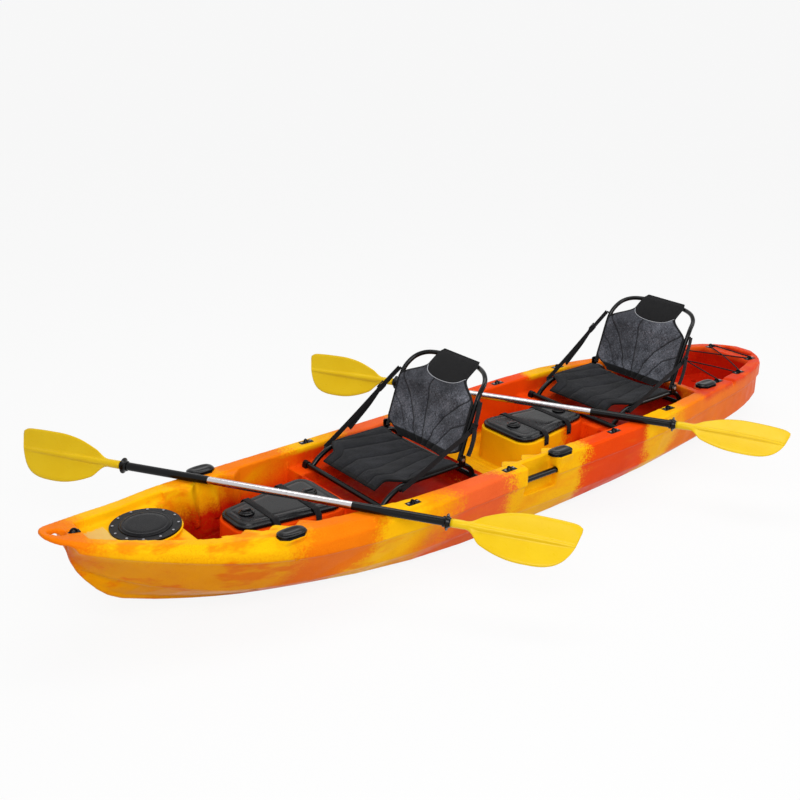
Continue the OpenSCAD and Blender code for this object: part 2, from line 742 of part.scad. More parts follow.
// Half lengths of the rear and front crossbars
bar_halves = [seat_width / 2 + 32, seat_width / 2 + 45];
rail_y = seat_width / 2;
seat_places = [seat_x, seat_x - seat_spacing];
bars = [bar_rear, bar_front];
rail_points = [
    [bar_rear, bar_z], [bar_rear + 8, bar_z + 28], [bar_rear + 38, rail_height - 12],
    [bar_rear + 76, rail_height], [120, rail_height], [262, rail_height], [318, rail_height - 9],
    [368, rail_height - 36], [bar_front, bar_z]
];

// Hinge bolt and the hole it turns in
bolt_d = 8;
bolt_room = bolt_d + 0.6;
module seat_base(x) {
    color(plastic_black)
        translate([x, 0, 0]) {
            both_sides() tube(spline([for (p = rail_points) [p[0], rail_y, p[1]]], 2), seat_tube);
            for (i = [0, 1])
                translate([bars[i], -bar_halves[i], bar_z])
                    rotate([-90, 0, 0]) cylinder(d = seat_tube + 1, h = 2 * bar_halves[i], $fn = 32);
            both_sides()
                difference() {
                    translate([-16, rail_y + seat_tube / 2 - 2, rail_height - 4])
                        cube([32, 6, hinge_z - rail_height + 20]);
                    translate([0, 0, hinge_z])
                        rotate([-90, 0, 0]) cylinder(d = bolt_room, h = seat_width, $fn = 24);
                }
        }
}
module front_seat_base() { seat_base(seat_places[0]); }
module rear_seat_base() { seat_base(seat_places[1]); }

module seat_feet(x) {
    color(plastic_black)
        translate([x, 0, 0])
            both_sides()
                for (i = [0, 1])
                    translate([bars[i], bar_halves[i] - 20, bar_z])
                        rotate([-90, 0, 0])
                            difference() {
                                union() {
                                    cylinder(d = seat_tube + 6, h = 26, $fn = 32);
                                    translate([-16, 0, 0]) cube([32, bar_z - seat_ledge, 26]);
                                }
                                translate([0, 0, -lap]) cylinder(d = seat_tube + 1, h = 20 + lap, $fn = 32);
                            }
}
module front_seat_feet() { seat_feet(seat_places[0]); }
module rear_seat_feet() { seat_feet(seat_places[1]); }

module seat_bolts(x) {
    color(metal)
        translate([x, 0, hinge_z])
            both_sides() {
                translate([0, rail_y - seat_tube / 2 - 2, 0])
                    rotate([-90, 0, 0]) cylinder(d = bolt_d, h = seat_tube + 7, $fn = 24);
                translate([0, rail_y + seat_tube / 2 + 4, 0])
                    rotate([-90, 0, 0]) cylinder(d = 2 * bolt_d, h = 5, $fn = 6);
            }
}
module front_seat_bolts() { seat_bolts(seat_places[0]); }
module rear_seat_bolts() { seat_bolts(seat_places[1]); }

// Padded cloth panel over a grid: top and bottom surfaces and a closed edge
module padded_panel(top, bottom) {
    n = len(top);
    m = len(top[0]);
    count = n * m;
    pts = concat([for (r = top, p = r) p], [for (r = bottom, p = r) p]);
    faces = concat(
        [for (i = [0:n - 2], j = [0:m - 2], k = [0, 1])
            let (a = i * m + j)
            k == 0 ? [a, a + 1, a + m + 1] : [a, a + m + 1, a + m]],
        [for (i = [0:n - 2], j = [0:m - 2], k = [0, 1])
            let (a = count + i * m + j)
            k == 0 ? [a, a + m + 1, a + 1] : [a, a + m, a + m + 1]],
        [for (i = [0:n - 2], k = [0, 1])
            let (a = i * m)
            k == 0 ? [a, a + m, a + m + count] : [a, a + m + count, a + count]],
        [for (i = [0:n - 2], k = [0, 1])
            let (a = i * m + m - 1)
            k == 0 ? [a, a + m + count, a + m] : [a, a + count, a + m + count]],
        [for (j = [0:m - 2], k = [0, 1])
            let (a = j)
            k == 0 ? [a, a + 1 + count, a + 1] : [a, a + count, a + 1 + count]],
        [for (j = [0:m - 2], k = [0, 1])
            let (a = (n - 1) * m + j)
            k == 0 ? [a, a + 1, a + 1 + count] : [a, a + 1 + count, a + count]]
    );
    polyhedron(pts, faces);
}

// Height of a sewn pad over its edge at [-1..1] across and [0..1] along, with channels between rows
function pad_crown(v, t, rows, deep) =
    (1 - pow(abs(v), 6)) * (deep * (0.55 + 0.45 * abs(sin(180 * rows * t))));

pan_rear = 26;
pan_front = 388;
pan_thick = 7;
pan_puff = 9;
pan_sag = 16;
pan_fall = 50;
pan_seat = rail_height + seat_tube / 2 + 1;
pan_side = rail_y + seat_tube / 2 - 2;
pan_nose = 176;
function pan_x(t) = pan_rear + t * (pan_front - pan_rear);
// The pan lies on both rails, narrows ahead of them and falls to its front edge
function pan_half(t) = pan_side - (pan_side - pan_nose) * ease(t, 0.72, 0.88);
function pan_dip(v, t) =
    -pan_sag * max(0, 1 - pow(v / 0.86, 2)) * (1 - ease(t, 0.7, 1))
    - pan_fall * pow(ease(t, 0.68, 1.12), 1.4) * pan_free(t);
function pan_free(t) = ease(t, 0.7, 0.8);
module seat_pan(x) {
    us = [for (i = [0:16]) i / 16];
    vs = [for (j = [-6:6]) j / 6];
    low = [for (t = us) [for (v = vs) [pan_x(t), v * pan_half(t), pan_seat + pan_dip(v, t)]]];
    high = [for (t = us) [for (v = vs)
        let (top = pan_seat + pan_thick + pad_crown(v, t, 4, pan_puff))
        [pan_x(t), v * (pan_half(t) - 1), top + pan_dip(v, t)]]];
    color(fabric_black) translate([x, 0, 0]) padded_panel(high, low);
}
module front_seat_pan() { seat_pan(seat_places[0]); }
module rear_seat_pan() { seat_pan(seat_places[1]); }

// Backrest in its own upright frame: height along the frame from the hinge, leaned afterwards
module leaned(x) {
    translate([x, 0, hinge_z]) rotate([0, -back_lean, 0]) children();
}
// Bent frame tube: [forward, sideways from the rail, part of the frame's length]
back_tube = seat_tube - 2;
back_tail = -12;
back_points = [
    [0, -3, 0.06], [0, -3, 0.2], [0, -1, 0.47], [-3, -1, 0.65], [-15, -7, 0.77], [-40, -22, 0.88],
    [-64, -60, 0.955], [-88, -120, 0.99], [-102, -190, 1]
];
module back_frame(x) {
    side = concat(
        [[0, rail_y - 3, back_tail]], [for (p = back_points) [p[0], rail_y + p[1], p[2] * back_length]]
    );
    path = concat(side, [for (i = [len(side) - 1:-1:0]) [side[i][0], -side[i][1], side[i][2]]]);
    color(plastic_black)
        leaned(x) {
            difference() {
                tube(spline(path, 2), back_tube);
                translate([0, -seat_width, 0])
                    rotate([-90, 0, 0]) cylinder(d = bolt_room, h = 2 * seat_width, $fn = 24);
            }
            both_sides()
                translate([0, rail_y + 4, strap_high])
                    rotate([-90, 0, 0]) cylinder(d = 11, h = strap_y - rail_y - 4, $fn = 24);
        }
}
module front_back_frame() { back_frame(seat_places[0]); }
module rear_back_frame() { back_frame(seat_places[1]); }

cover_low = -24;
cover_high = back_length + 21;
cover_thick = 5;
cover_puff = 7;
cover_gap = back_tube / 2 + 0.9;
cover_head = 122;
cover_foot = 146;
cover_wide = rail_y - 3;
cover_round = 12;
cover_sink = 22;
cover_bend = 103;
// Steady rise from 0 to 1 between two parts of a length
function ease(t, a, b) = let (u = min(1, max(0, (t - a) / (b - a)))) u * u * (3 - 2 * u);
// Half width of the cover at a part of its height, narrow at the head flap
function cover_half(t) =
    cover_foot + (cover_wide - cover_foot) * ease(t, 0, 0.15)
    - (cover_wide - cover_head) * ease(t, 0.6, 0.82) - cover_round * ease(t, 0.94, 1);
// Hollow of the cover between the side tubes and backward curl of its head flap
function cover_hollow(v, t) = -cover_sink * (1 - v * v) * (1 - ease(t, 0.45, 0.75));
function cover_curl(t) = -cover_bend * pow(max(0, (t - 0.59) / 0.41), 1.3);
function cover_place(v, t, out) = [
    cover_gap + cover_hollow(v, t) + cover_curl(t) + out,
    v * cover_half(t), cover_low + t * (cover_high - cover_low)
];
module back_cover(x) {
    us = [for (i = [0:20]) i / 20];
    vs = [for (j = [-6:6]) j / 6];
    rear = [for (t = us) [for (v = vs) cover_place(v, t, 0)]];
    face = [for (t = us) [for (v = vs) cover_place(v, t, cover_thick + pad_crown(v, t, 3, cover_puff))]];
    color(fabric_black) leaned(x) padded_panel(rear, face);
}
module front_back_cover() { back_cover(seat_places[0]); }
module rear_back_cover() { back_cover(seat_places[1]); }

// Adjusting strap from the backrest's shoulder to the front of the side rail
web_w = 25;
web_t = 2;
strap_y = rail_y + seat_tube / 2 + 9;
strap_high = 0.68 * back_length;
shoulder_x = -sin(back_lean) * strap_high;
shoulder_z = hinge_z + cos(back_lean) * strap_high;
strap_foot = [320, rail_height - 9];
strap_drop = shoulder_z - strap_foot[1];
buckle_t = 5;
// Webbing routes from shoulder to rail as parts of the run and of the drop; the port strap is slack
tight_route = [[0, 1], [0.24, 0.76], [0.5, 0.49], [0.75, 0.24], [1, 0]];
slack_route = [[0, 1], [0.03, 0.8], [0.08, 0.62], [0.22, 0.5], [0.4, 0.39], [0.69, 0.19], [1, 0]];
function strap_point(p, y) =
    [shoulder_x + p[0] * (strap_foot[0] - shoulder_x), y, strap_foot[1] + p[1] * strap_drop];
strap_mid = strap_y + web_t / 2;
flat_web = [for (c = [[-1, -1], [1, -1], [1, 1], [-1, 1]]) [c[0] * web_t / 2, c[1] * web_w / 2]];
tail_y = strap_y + 1.5 * web_t + buckle_t;
tight_buckle = tight_route[1];
slack_buckle = slack_route[2];
tight_tail = [tight_buckle, [0.42, 0.49], [0.67, 0.19]];
slack_tail = [slack_buckle, [0.1, 0.4], [0.16, 0.2]];
// Flat webbing along a path that stays beside the seat
module web(path) {
    loft([
        for (i = [0:len(path) - 1])
            let (side = [0, 1, 0], up = cross(heading(path, i), side))
            [for (q = flat_web) path[i] + q[0] * side + q[1] * up]
    ]);
}
module seat_straps(x) {
    color(fabric_black)
        translate([x, 0, 0]) {
            web(spline([for (p = slack_route) strap_point(p, strap_mid)], 3));
            web([for (p = slack_tail) strap_point(p, tail_y)]);
            mirror([0, 1, 0]) {
                web(spline([for (p = tight_route) strap_point(p, strap_mid)], 2));
                web([for (p = tight_tail) strap_point(p, tail_y)]);
            }
        }
}
module front_seat_straps() { seat_straps(seat_places[0]); }
module rear_seat_straps() { seat_straps(seat_places[1]); }

buckle_size = [40, buckle_t, 34];
module buckle(place, slope) {
    translate(strap_point(place, strap_y + web_t))
        rotate([0, slope, 0])
            translate([-buckle_size[0] / 2, 0, -buckle_size[2] / 2]) cube(buckle_size);
}
module seat_buckles(x) {
    rail_side = rail_y + seat_tube / 2;
    color(plastic_black)
        translate([x, 0, 0]) {
            buckle(slack_buckle, 65);
            mirror([0, 1, 0]) buckle(tight_buckle, 34);
            both_sides()
                translate([strap_foot[0], rail_side, strap_foot[1]])
                    rotate([-90, 0, 0]) cylinder(d = 18, h = strap_y - rail_side, $fn = 24);
        }
}
module front_seat_buckles() { seat_buckles(seat_places[0]); }
module rear_seat_buckles() { seat_buckles(seat_places[1]); }

// Paddles lie across both gunwales: [middle along the hull, middle across, heading, far roll, near roll, gap]
paddle_front = [1016, 42, 124.6, 62, 42, 1.1];
paddle_rear = [-406, -72, 118, 62, 25, 0.4];
grip_length = 365;
ring_reach = paddle_length / 2 - blade_length - 17;
seam = 34;
shaft_wall = 1.6;
ferrule_length = 90;
shaft_reach = paddle_length / 2 - blade_length;
neck_length = 52;
sleeve_t = 1.5;
ring_h = 26;
function paddle_x(p, y) = p[0] + (y - p[1]) / tan(p[2]);
// Where the shaft crosses the gunwale, found by steps, and the height it rests at there
function crossing(p, way, n = 8, y = half_beam) =
    n == 0 ? y : crossing(p, way, n - 1, crest(paddle_x(p, way * y)) - rim_width / 2);
function rest_z(p, way) = sheer(paddle_x(p, way * crossing(p, way))) + shaft_d / 2 + sleeve_t + p[5];
function paddle_rise(p) = (rest_z(p, 1) - rest_z(p, -1)) / (crossing(p, 1) + crossing(p, -1));
function paddle_tilt(p) = atan(paddle_rise(p) * sin(p[2]));
function paddle_z(p) = rest_z(p, -1) + paddle_rise(p) * (p[1] + crossing(p, -1));
module on_paddle(p) {
    translate([p[0], p[1], paddle_z(p)]) rotate([0, 0, p[2]]) rotate([0, -paddle_tilt(p), 0]) children();
}
module rod_along(d, from, to) {
    translate([from, 0, 0]) rotate([0, 90, 0]) cylinder(d = d, h = to - from, $fn = 48);
}

button_d = 7;
button_room = button_d + 0.6;
button_place = seam - 37;
shaft_end = shaft_reach + 40;
ferrule_d = shaft_d - 2 * shaft_wall - 0.6;
ferrule_bore = ferrule_d - 2 * shaft_wall;
// Turn to either side that the slot in the ferrule leaves for setting the blades' angle
feather = 60;
module shaft_far(p) {
    color(metal)
        on_paddle(p)
            difference() {
                rod_along(shaft_d, -shaft_end, seam);
                rod_along(shaft_d - 2 * shaft_wall, -shaft_end - lap, seam + lap);
                translate([button_place, 0, 0]) cylinder(d = button_room, h = shaft_d, $fn = 24);
            }
}
// Near half of a shaft with the ferrule that enters the far half
module shaft_near(p) {
    color(metal)
        on_paddle(p)
            difference() {
                union() {
                    rod_along(shaft_d, seam + 0.4, shaft_end);
                    rod_along(ferrule_d, seam - ferrule_length, seam + 0.4 + lap);
                }
                rod_along(ferrule_bore, seam - ferrule_length - lap, shaft_end + lap);
                translate([button_place - button_room / 2, 0, 0])
                    rotate([0, 90, 0])
                        rotate([0, 0, 180 - feather - 20])
                            rotate_extrude(angle = 2 * feather + 40, $fn = 64)
                                translate([ferrule_bore / 2 - lap, 0])
                                    square([2 * shaft_wall + lap, button_room]);
            }
}
module paddle_grip(p, way) {
    color(plastic_black)
        on_paddle(p)
            mirror([way < 0 ? 1 : 0, 0, 0])
                difference() {
                    rod_along(shaft_d + 2 * sleeve_t, ring_reach - grip_length, shaft_reach);
                    rod_along(shaft_d, ring_reach - grip_length - lap, shaft_reach + lap);
                }
}
// Cup-shaped drip ring over the grip
module paddle_ring(p, way) {
    r = shaft_d / 2 + sleeve_t;
    color(plastic_black)
        on_paddle(p)
            mirror([way < 0 ? 1 : 0, 0, 0])
                translate([ring_reach - ring_h / 2, 0, 0])
                    rotate([0, 90, 0])
                        rotate_extrude($fn = 64)
                            polygon([
                                [r, 0], [r + 4, 0], [r + 5, 9], [r + 15, 15], [r + 15, 18], [r + 6, 16],
                                [r + 4, ring_h], [r, ring_h]
                            ]);
}

// Blade outline: distance of the long and short edges from the rib at parts of the length, over the width
blade_upper = [
    [0, 0.085], [0.12, 0.2], [0.33, 0.37], [0.5, 0.435], [0.66, 0.44], [0.88, 0.42], [1, 0.38]
];
blade_lower = [
    [0, 0.085], [0.17, 0.36], [0.39, 0.54], [0.6, 0.575], [0.77, 0.52], [0.88, 0.36], [0.96, 0.06], [1, -0.29]
];
blade_t = 4;
blade_rib = 10;
blade_spoon = 26;
blade_dish = 7;
blade_stations = [0, 0.05, 0.12, 0.2, 0.3, 0.42, 0.55, 0.68, 0.8, 0.88, 0.94, 0.98, 1];
neck_r = shaft_d / 2 + 0.5;
function rib(t) = blade_rib * pow(max(0, 1 - t), 0.7);
function spoon(t) = -blade_spoon * t * t;
// Ring of points round the blade at a part of its length; the rib stands on both faces
function blade_ring(t) =
    let (
        x = shaft_reach + neck_length - 4 + t * (blade_length - neck_length + 4),
        a = blade_width * curve(blade_upper, t), b = blade_width * curve(blade_lower, t),
        mid = b < 0 ? (a - b) / 2 : 0, wide = a - mid, slim = b + mid,
        e = blade_t / 2, h = e + rib(t), z = spoon(t), dish = blade_dish * sin(170 * t)
    )
    t == 0
        ? [for (j = [0:11]) [x, neck_r * cos(15 + j * 30), neck_r * sin(15 + j * 30)]]
        : [
            [x, a, z + dish + e], [x, mid + 0.55 * wide, z + 0.3 * dish + e],
            [x, mid + 0.16 * wide, z + e + rib(t) * 0.5], [x, mid, z + h],
            [x, mid - 0.16 * slim, z + e + rib(t) * 0.5], [x, mid - 0.55 * slim, z + 0.3 * dish + e],
            [x, -b, z + dish + e], [x, -b, z + dish - e], [x, mid - 0.5 * slim, z + 0.25 * dish - e],
            [x, mid, z - h], [x, mid + 0.5 * wide, z + 0.25 * dish - e], [x, a, z + dish - e]
        ];
module paddle_blade(p, way) {
    color(blade_yellow)
        on_paddle(p)
            mirror([way < 0 ? 1 : 0, 0, 0])
                rotate([way < 0 ? p[3] : p[4], 0, 0]) {
                    loft([for (t = blade_stations) blade_ring(t)]);
                    difference() {
                        rod_along(shaft_d + 2 * sleeve_t, shaft_reach + 0.2, shaft_reach + neck_length);
                        rod_along(shaft_d + 0.2, shaft_reach - lap, shaft_end);
                    }
                }
}
module paddle_button(p) {
    color(metal)
        on_paddle(p)
            translate([button_place, 0, shaft_d / 2 - 6]) {
                cylinder(d = button_d, h = 6.5, $fn = 32);
                translate([0, 0, 6.5]) cylinder(d1 = button_d, d2 = button_d - 3, h = 2, $fn = 32);
            }
}

module front_shaft_far() { shaft_far(paddle_front); }
module front_shaft_near() { shaft_near(paddle_front); }
module front_grip_far() { paddle_grip(paddle_front, -1); }
module front_grip_near() { paddle_grip(paddle_front, 1); }
module front_ring_far() { paddle_ring(paddle_front, -1); }
module front_ring_near() { paddle_ring(paddle_front, 1); }
module front_blade_far() { paddle_blade(paddle_front, -1); }
module front_blade_near() { paddle_blade(paddle_front, 1); }
module front_button() { paddle_button(paddle_front); }
module rear_shaft_far() { shaft_far(paddle_rear); }
module rear_shaft_near() { shaft_near(paddle_rear); }
module rear_grip_far() { paddle_grip(paddle_rear, -1); }
module rear_grip_near() { paddle_grip(paddle_rear, 1); }
module rear_ring_far() { paddle_ring(paddle_rear, -1); }
module rear_ring_near() { paddle_ring(paddle_rear, 1); }
module rear_blade_far() { paddle_blade(paddle_rear, -1); }
module rear_blade_near() { paddle_blade(paddle_rear, 1); }
module rear_button() { paddle_button(paddle_rear); }

kayak_hull();
bow_hatch_rim();
bow_hatch_gasket();
bow_hatch_lid();
front_console_lid();
rear_console_lid();
console_gaskets();
front_console_straps();
rear_console_straps();
front_lid_knob_fore();
front_lid_knob_aft();
rear_lid_knob_fore();
rear_lid_knob_aft();
rod_holders();
rod_cap_bow_port();
rod_cap_bow_starboard();
rod_cap_mid_port();
rod_cap_mid_starboard();
rod_cap_stern_port();
rod_cap_stern_starboard();
side_grips();
pad_eyes();
deck_screws();
bow_fitting();
bungee();
front_seat_base();
front_seat_feet();
front_seat_bolts();
front_seat_pan();
front_back_frame();
front_back_cover();
front_seat_straps();
front_seat_buckles();
rear_seat_base();
rear_seat_feet();
rear_seat_bolts();
rear_seat_pan();
rear_back_frame();
rear_back_cover();
rear_seat_straps();
rear_seat_buckles();
front_shaft_far();
front_shaft_near();
front_grip_far();
front_grip_near();
front_ring_far();
front_ring_near();
front_blade_far();
front_blade_near();
front_button();
rear_shaft_far();
rear_shaft_near();
rear_grip_far();
rear_grip_near();
rear_ring_far();
rear_ring_near();
rear_blade_far();
rear_blade_near();
rear_button();
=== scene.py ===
import json
import math

import bmesh
import bpy
import numpy as np
from mathutils import Matrix, Vector


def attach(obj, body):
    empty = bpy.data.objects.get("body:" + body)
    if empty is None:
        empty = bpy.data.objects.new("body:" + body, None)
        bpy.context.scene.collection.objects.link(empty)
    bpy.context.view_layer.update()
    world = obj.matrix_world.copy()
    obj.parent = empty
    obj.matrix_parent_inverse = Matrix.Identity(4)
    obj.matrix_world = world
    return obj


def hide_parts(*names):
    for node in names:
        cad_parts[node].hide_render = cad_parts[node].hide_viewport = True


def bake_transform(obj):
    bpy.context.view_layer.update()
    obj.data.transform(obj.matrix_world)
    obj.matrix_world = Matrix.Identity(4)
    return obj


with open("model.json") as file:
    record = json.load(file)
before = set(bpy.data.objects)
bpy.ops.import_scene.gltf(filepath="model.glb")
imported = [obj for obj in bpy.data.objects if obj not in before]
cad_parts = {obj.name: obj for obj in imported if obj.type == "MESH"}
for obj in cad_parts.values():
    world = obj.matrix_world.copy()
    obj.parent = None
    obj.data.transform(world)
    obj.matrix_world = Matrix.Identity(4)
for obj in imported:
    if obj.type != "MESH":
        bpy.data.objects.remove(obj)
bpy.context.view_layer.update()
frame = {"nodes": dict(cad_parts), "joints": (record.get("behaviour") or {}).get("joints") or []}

# Tandem sit-on-top kayak. Geometry is written in millimetres in the CAD frame (x forward, y to port, z up)
# and is scaled to metres when a mesh is made.
NODES = frame["nodes"]
JOINTS = {joint["name"]: joint for joint in frame["joints"]}
UNIT = 0.001
HALF_LENGTH = 1930.0
HALF_BEAM = 422.0
SHEER_LOW, SHEER_RISE = 318.0, 149.0
GUNWALE, STERN_GUNWALE = 62.0, 49.6
# Outlines along the hull: place from -1 at the stern to 1 at the bow, and value
SHEER_LINE = [(-1, -0.14), (-0.93, -0.12), (-0.65, -0.03), (-0.45, 0.05), (-0.25, 0.03), (0.07, -0.01),
              (0.33, 0), (0.6, 0.17), (0.72, 0.31), (0.82, 0.48), (0.94, 0.78), (1, 1)]
CREST_LINE = [(-1, 0.10), (-0.991, 0.17), (-0.975, 0.28), (-0.937, 0.43), (-0.9, 0.50), (-0.83, 0.60),
              (-0.67, 0.74), (-0.44, 0.935), (-0.27, 0.97), (0.08, 0.94), (0.3, 0.93), (0.465, 0.865),
              (0.62, 0.77), (0.72, 0.67), (0.82, 0.49), (0.89, 0.365), (0.945, 0.245), (0.98, 0.15),
              (0.994, 0.09), (1, 0.03)]


# Shapes

def ease(t, a, b):
    """Smooth rise from 0 at a to 1 at b."""
    u = np.clip((np.asarray(t, float) - a) / (b - a), 0, 1)
    return u * u * (3 - 2 * u)


def curve(pts, u):
    """Smooth curve through the points of an outline."""
    last = len(pts) - 1

    def slope(i):
        a, b = pts[max(i - 1, 0)], pts[min(i + 1, last)]
        return (b[1] - a[1]) / (b[0] - a[0])

    i = 0
    while i < last - 1 and u >= pts[i + 1][0]:
        i += 1
    a, b = pts[i], pts[i + 1]
    h = b[0] - a[0]
    t = (u - a[0]) / h
    return (a[1] * (1 + 2 * t) * (1 - t) ** 2 + b[1] * t * t * (3 - 2 * t)
            + h * slope(i) * t * (1 - t) ** 2 - h * slope(i + 1) * t * t * (1 - t))


def sheer(x):
    """Height of the gunwale."""
    return SHEER_LOW + SHEER_RISE * curve(SHEER_LINE, max(-1, min(1, x / HALF_LENGTH)))


def crest(x):
    """Half width to the outer edge of the gunwale's flat top."""
    return HALF_BEAM * curve(CREST_LINE, max(-1, min(1, x / HALF_LENGTH)))


def inner(x):
    """Half width to the wells' walls."""
    return crest(x) - (STERN_GUNWALE if x < -HALF_LENGTH / 2 else GUNWALE)


def spline(points, steps):
    """Smooth path through listed points."""
    p = np.asarray(points, float)
    n = len(p) - 1
    out = []
    for i in range(n):
        a, b, c, d = p[max(i - 1, 0)], p[i], p[i + 1], p[min(i + 2, n)]
        for k in range(steps):
            t = k / steps
            out.append(0.5 * (2 * b + (c - a) * t + (2 * a - 5 * b + 4 * c - d) * t * t
                              + (3 * b - a - 3 * c + d) * t ** 3))
    return np.array(out + [p[n]])


def directions(path, side=None):
    """Heading along a path with two directions across it; side fixes the first of these."""
    path = np.asarray(path, float)
    head = np.gradient(path, axis=0)
    head /= np.linalg.norm(head, axis=1)[:, None]
    if side is not None:
        s = np.tile(np.asarray(side, float), (len(path), 1))
        s -= (s * head).sum(1)[:, None] * head
    else:
        start = np.array([0, 0, 1.0]) if abs(head[0][2]) < 0.9 else np.array([0, 1.0, 0])
        s = [start]
        for h in head:
            v = s[-1] - np.dot(s[-1], h) * h
            s.append(v / np.linalg.norm(v))
        s = np.array(s[1:])
    s /= np.linalg.norm(s, axis=1)[:, None]
    return head, s, np.cross(head, s)


DOME_LENGTH, DOME_END = 0.4, 0.72


def tube(path, radius, sides=20, dome=True):
    """Rings of a round tube; its ends are closed with a small rounding."""
    path = np.asarray(path, float)
    radius = np.zeros(len(path)) + radius
    head, s, t = directions(path)
    if dome:
        count = np.ones(len(path), int)
        count[[0, -1]] = 2
        path, radius, head, s, t = (np.repeat(a, count, axis=0) for a in (path, radius, head, s, t))
        path[1] += head[1] * DOME_LENGTH * radius[1]
        path[-2] -= head[-2] * DOME_LENGTH * radius[-2]
        radius[[0, -1]] *= DOME_END
    ang = np.arange(sides) * 2 * math.pi / sides
    return (path[:, None] + radius[:, None, None]
            * (np.cos(ang)[None, :, None] * s[:, None] + np.sin(ang)[None, :, None] * t[:, None]))


def rounded(a, b, r, steps=3):
    """Outline of a rectangle 2a by 2b with rounded corners."""
    out = []
    for k, (x, y) in enumerate([(a - r, b - r), (r - a, b - r), (r - a, r - b), (a - r, r - b)]):
        for i in range(steps + 1):
            w = math.radians(90 * k + 90 * i / steps)
            out.append((x + r * math.cos(w), y + r * math.sin(w)))
    return np.array(out)


def band(path, side, across, thick):
    """Rings of a flat strap, across wide along side and thick the other way."""
    path = np.asarray(path, float)
    _, s, t = directions(path, side)
    shape = rounded(across / 2, thick / 2, min(across, thick) * 0.42, 2)
    return path[:, None] + shape[None, :, :1] * s[:, None] + shape[None, :, 1:] * t[:, None]


def lathe(profile, centre, sides=96, wave=np.ones_like):
    """Rings about an upright axis from (radius, height) pairs; wave(angle) scales the radius."""
    ang = np.arange(sides) * 2 * math.pi / sides
    r, h = np.transpose(profile)[:, :, None]
    r = r * wave(ang)
    return np.stack([r * np.cos(ang), r * np.sin(ang), h + 0 * ang], -1) + centre


def stud(profile, sides, x, y, z, side):
    """Rings of a round stud that faces away from the boat's middle, to port where side is 1."""
    ring = lathe(profile, (0, 0, 0), sides)
    return np.stack([ring[..., 0] + x, side * (ring[..., 2] + y), ring[..., 1] + z], -1)


def stacked(outline, levels, z):
    """Rings of an outline function of inset at (inset, height) levels."""
    return np.array([[(x, y, z + h) for x, y in outline(inset)] for inset, h in levels])


# Centres of a lid's corners along and across it, and their radius
LID_HALF, LID_NARROW, LID_WIDE, LID_CORNER = 158, 38, 88, 62


def lid_outline(x, way, inset, steps=14):
    """Rounded trapezium of a console lid; the narrow end points forward where way is 1."""
    r = LID_CORNER - inset
    pts = []
    corners = [(LID_HALF, LID_NARROW), (-LID_HALF, LID_WIDE), (-LID_HALF, -LID_WIDE), (LID_HALF, -LID_NARROW)]
    lean = math.degrees(math.atan2(LID_WIDE - LID_NARROW, 2 * LID_HALF))
    spans = [(0, 90 - lean), (90 - lean, 180), (180, 270 + lean), (270 + lean, 360)]
    for (cx, cy), (a, b) in zip(corners, spans):
        for i in range(steps + 1):
            w = math.radians(a + (b - a) * i / steps)
            pts.append((x + way * (cx + r * math.cos(w)), way * (cy + r * math.sin(w))))
    return pts


# Meshes

SHARP = 30


def point_value(mesh, key, values):
    """Named value of each point of a mesh, for its material."""
    layer = mesh.attributes.new(key, "FLOAT", "POINT")
    layer.data.foreach_set("value", np.asarray(values, np.float32).ravel())


def make(name, ring_sets, paint, body, slot, nodes=()):
    """One object on a body from sets of closed rings with capped ends; UVs are in metres along and around."""
    verts, faces, uvs = [], [], []
    for rings in ring_sets:
        rings = np.asarray(rings, float)
        n, m = rings.shape[:2]
        base = len(verts)
        verts += [tuple(p) for p in rings.reshape(-1, 3) * UNIT]
        steps = np.linalg.norm(np.diff(rings, axis=0), axis=2).mean(1)
        along = np.concatenate([[0], np.cumsum(steps)]) * UNIT
        wide = rings[n // 2]
        loop = np.linalg.norm(np.roll(wide, -1, 0) - wide, axis=1)
        around = np.concatenate([[0], np.cumsum(loop)]) * UNIT
        for i in range(n - 1):
            row = base + i * m
            for j in range(m):
                k = (j + 1) % m
                faces.append((row + j, row + k, row + m + k, row + m + j))
                uvs += [(along[i + a], around[j + b]) for a, b in ((0, 0), (0, 1), (1, 1), (1, 0))]
        faces.append(tuple(base + j for j in range(m))[::-1])
        faces.append(tuple(base + (n - 1) * m + j for j in range(m)))
        uvs += [(along[0], around[j]) for j in range(m)][::-1] + [(along[-1], around[j]) for j in range(m)]
    mesh = bpy.data.meshes.new(name)
    mesh.from_pydata(verts, [], faces)
    layer = mesh.uv_layers.new(name="UVMap")
    layer.data.foreach_set("uv", np.array(uvs, np.float32).ravel())
    mesh.update()
    work = bmesh.new()
    work.from_mesh(mesh)
    bmesh.ops.recalc_face_normals(work, faces=work.faces)
    work.to_mesh(mesh)
    work.free()
    return place(name, mesh, paint, body, nodes)


def in_scene(name, data):
    obj = bpy.data.objects.new(name, data)
    bpy.context.scene.collection.objects.link(obj)
    return obj


def place(name, mesh, paint, body, nodes=()):
    """Object in the scene that rides on a body if one is given, and stands in for CAD nodes."""
    obj = in_scene(name, mesh)
    mesh.materials.clear()
    mesh.materials.append(paint)
    mesh.shade_smooth()
    if body:
        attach(obj, body)
    if nodes:
        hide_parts(*nodes)
    return obj


def bevel(obj, width, angle=SHARP, segments=3):
    """Rounded edges, as a modifier."""
    m = obj.modifiers.new("rounded_edges", "BEVEL")
    m.width = width * UNIT
    m.segments = segments
    m.limit_method = "ANGLE"
    m.angle_limit = math.radians(angle)
    m.harden_normals = True
    return obj


def dress(node, paint, width=0.0):
    """Material and softened edges on a CAD node that is shown as it is."""
    obj = NODES[node]
    obj.data.materials.clear()
    obj.data.materials.append(paint)
    if width:
        bevel(obj, width)
    else:
        obj.modifiers.new("split_sharp_edges", "EDGE_SPLIT").split_angle = math.radians(SHARP)
    obj.data.shade_smooth()


# Materials

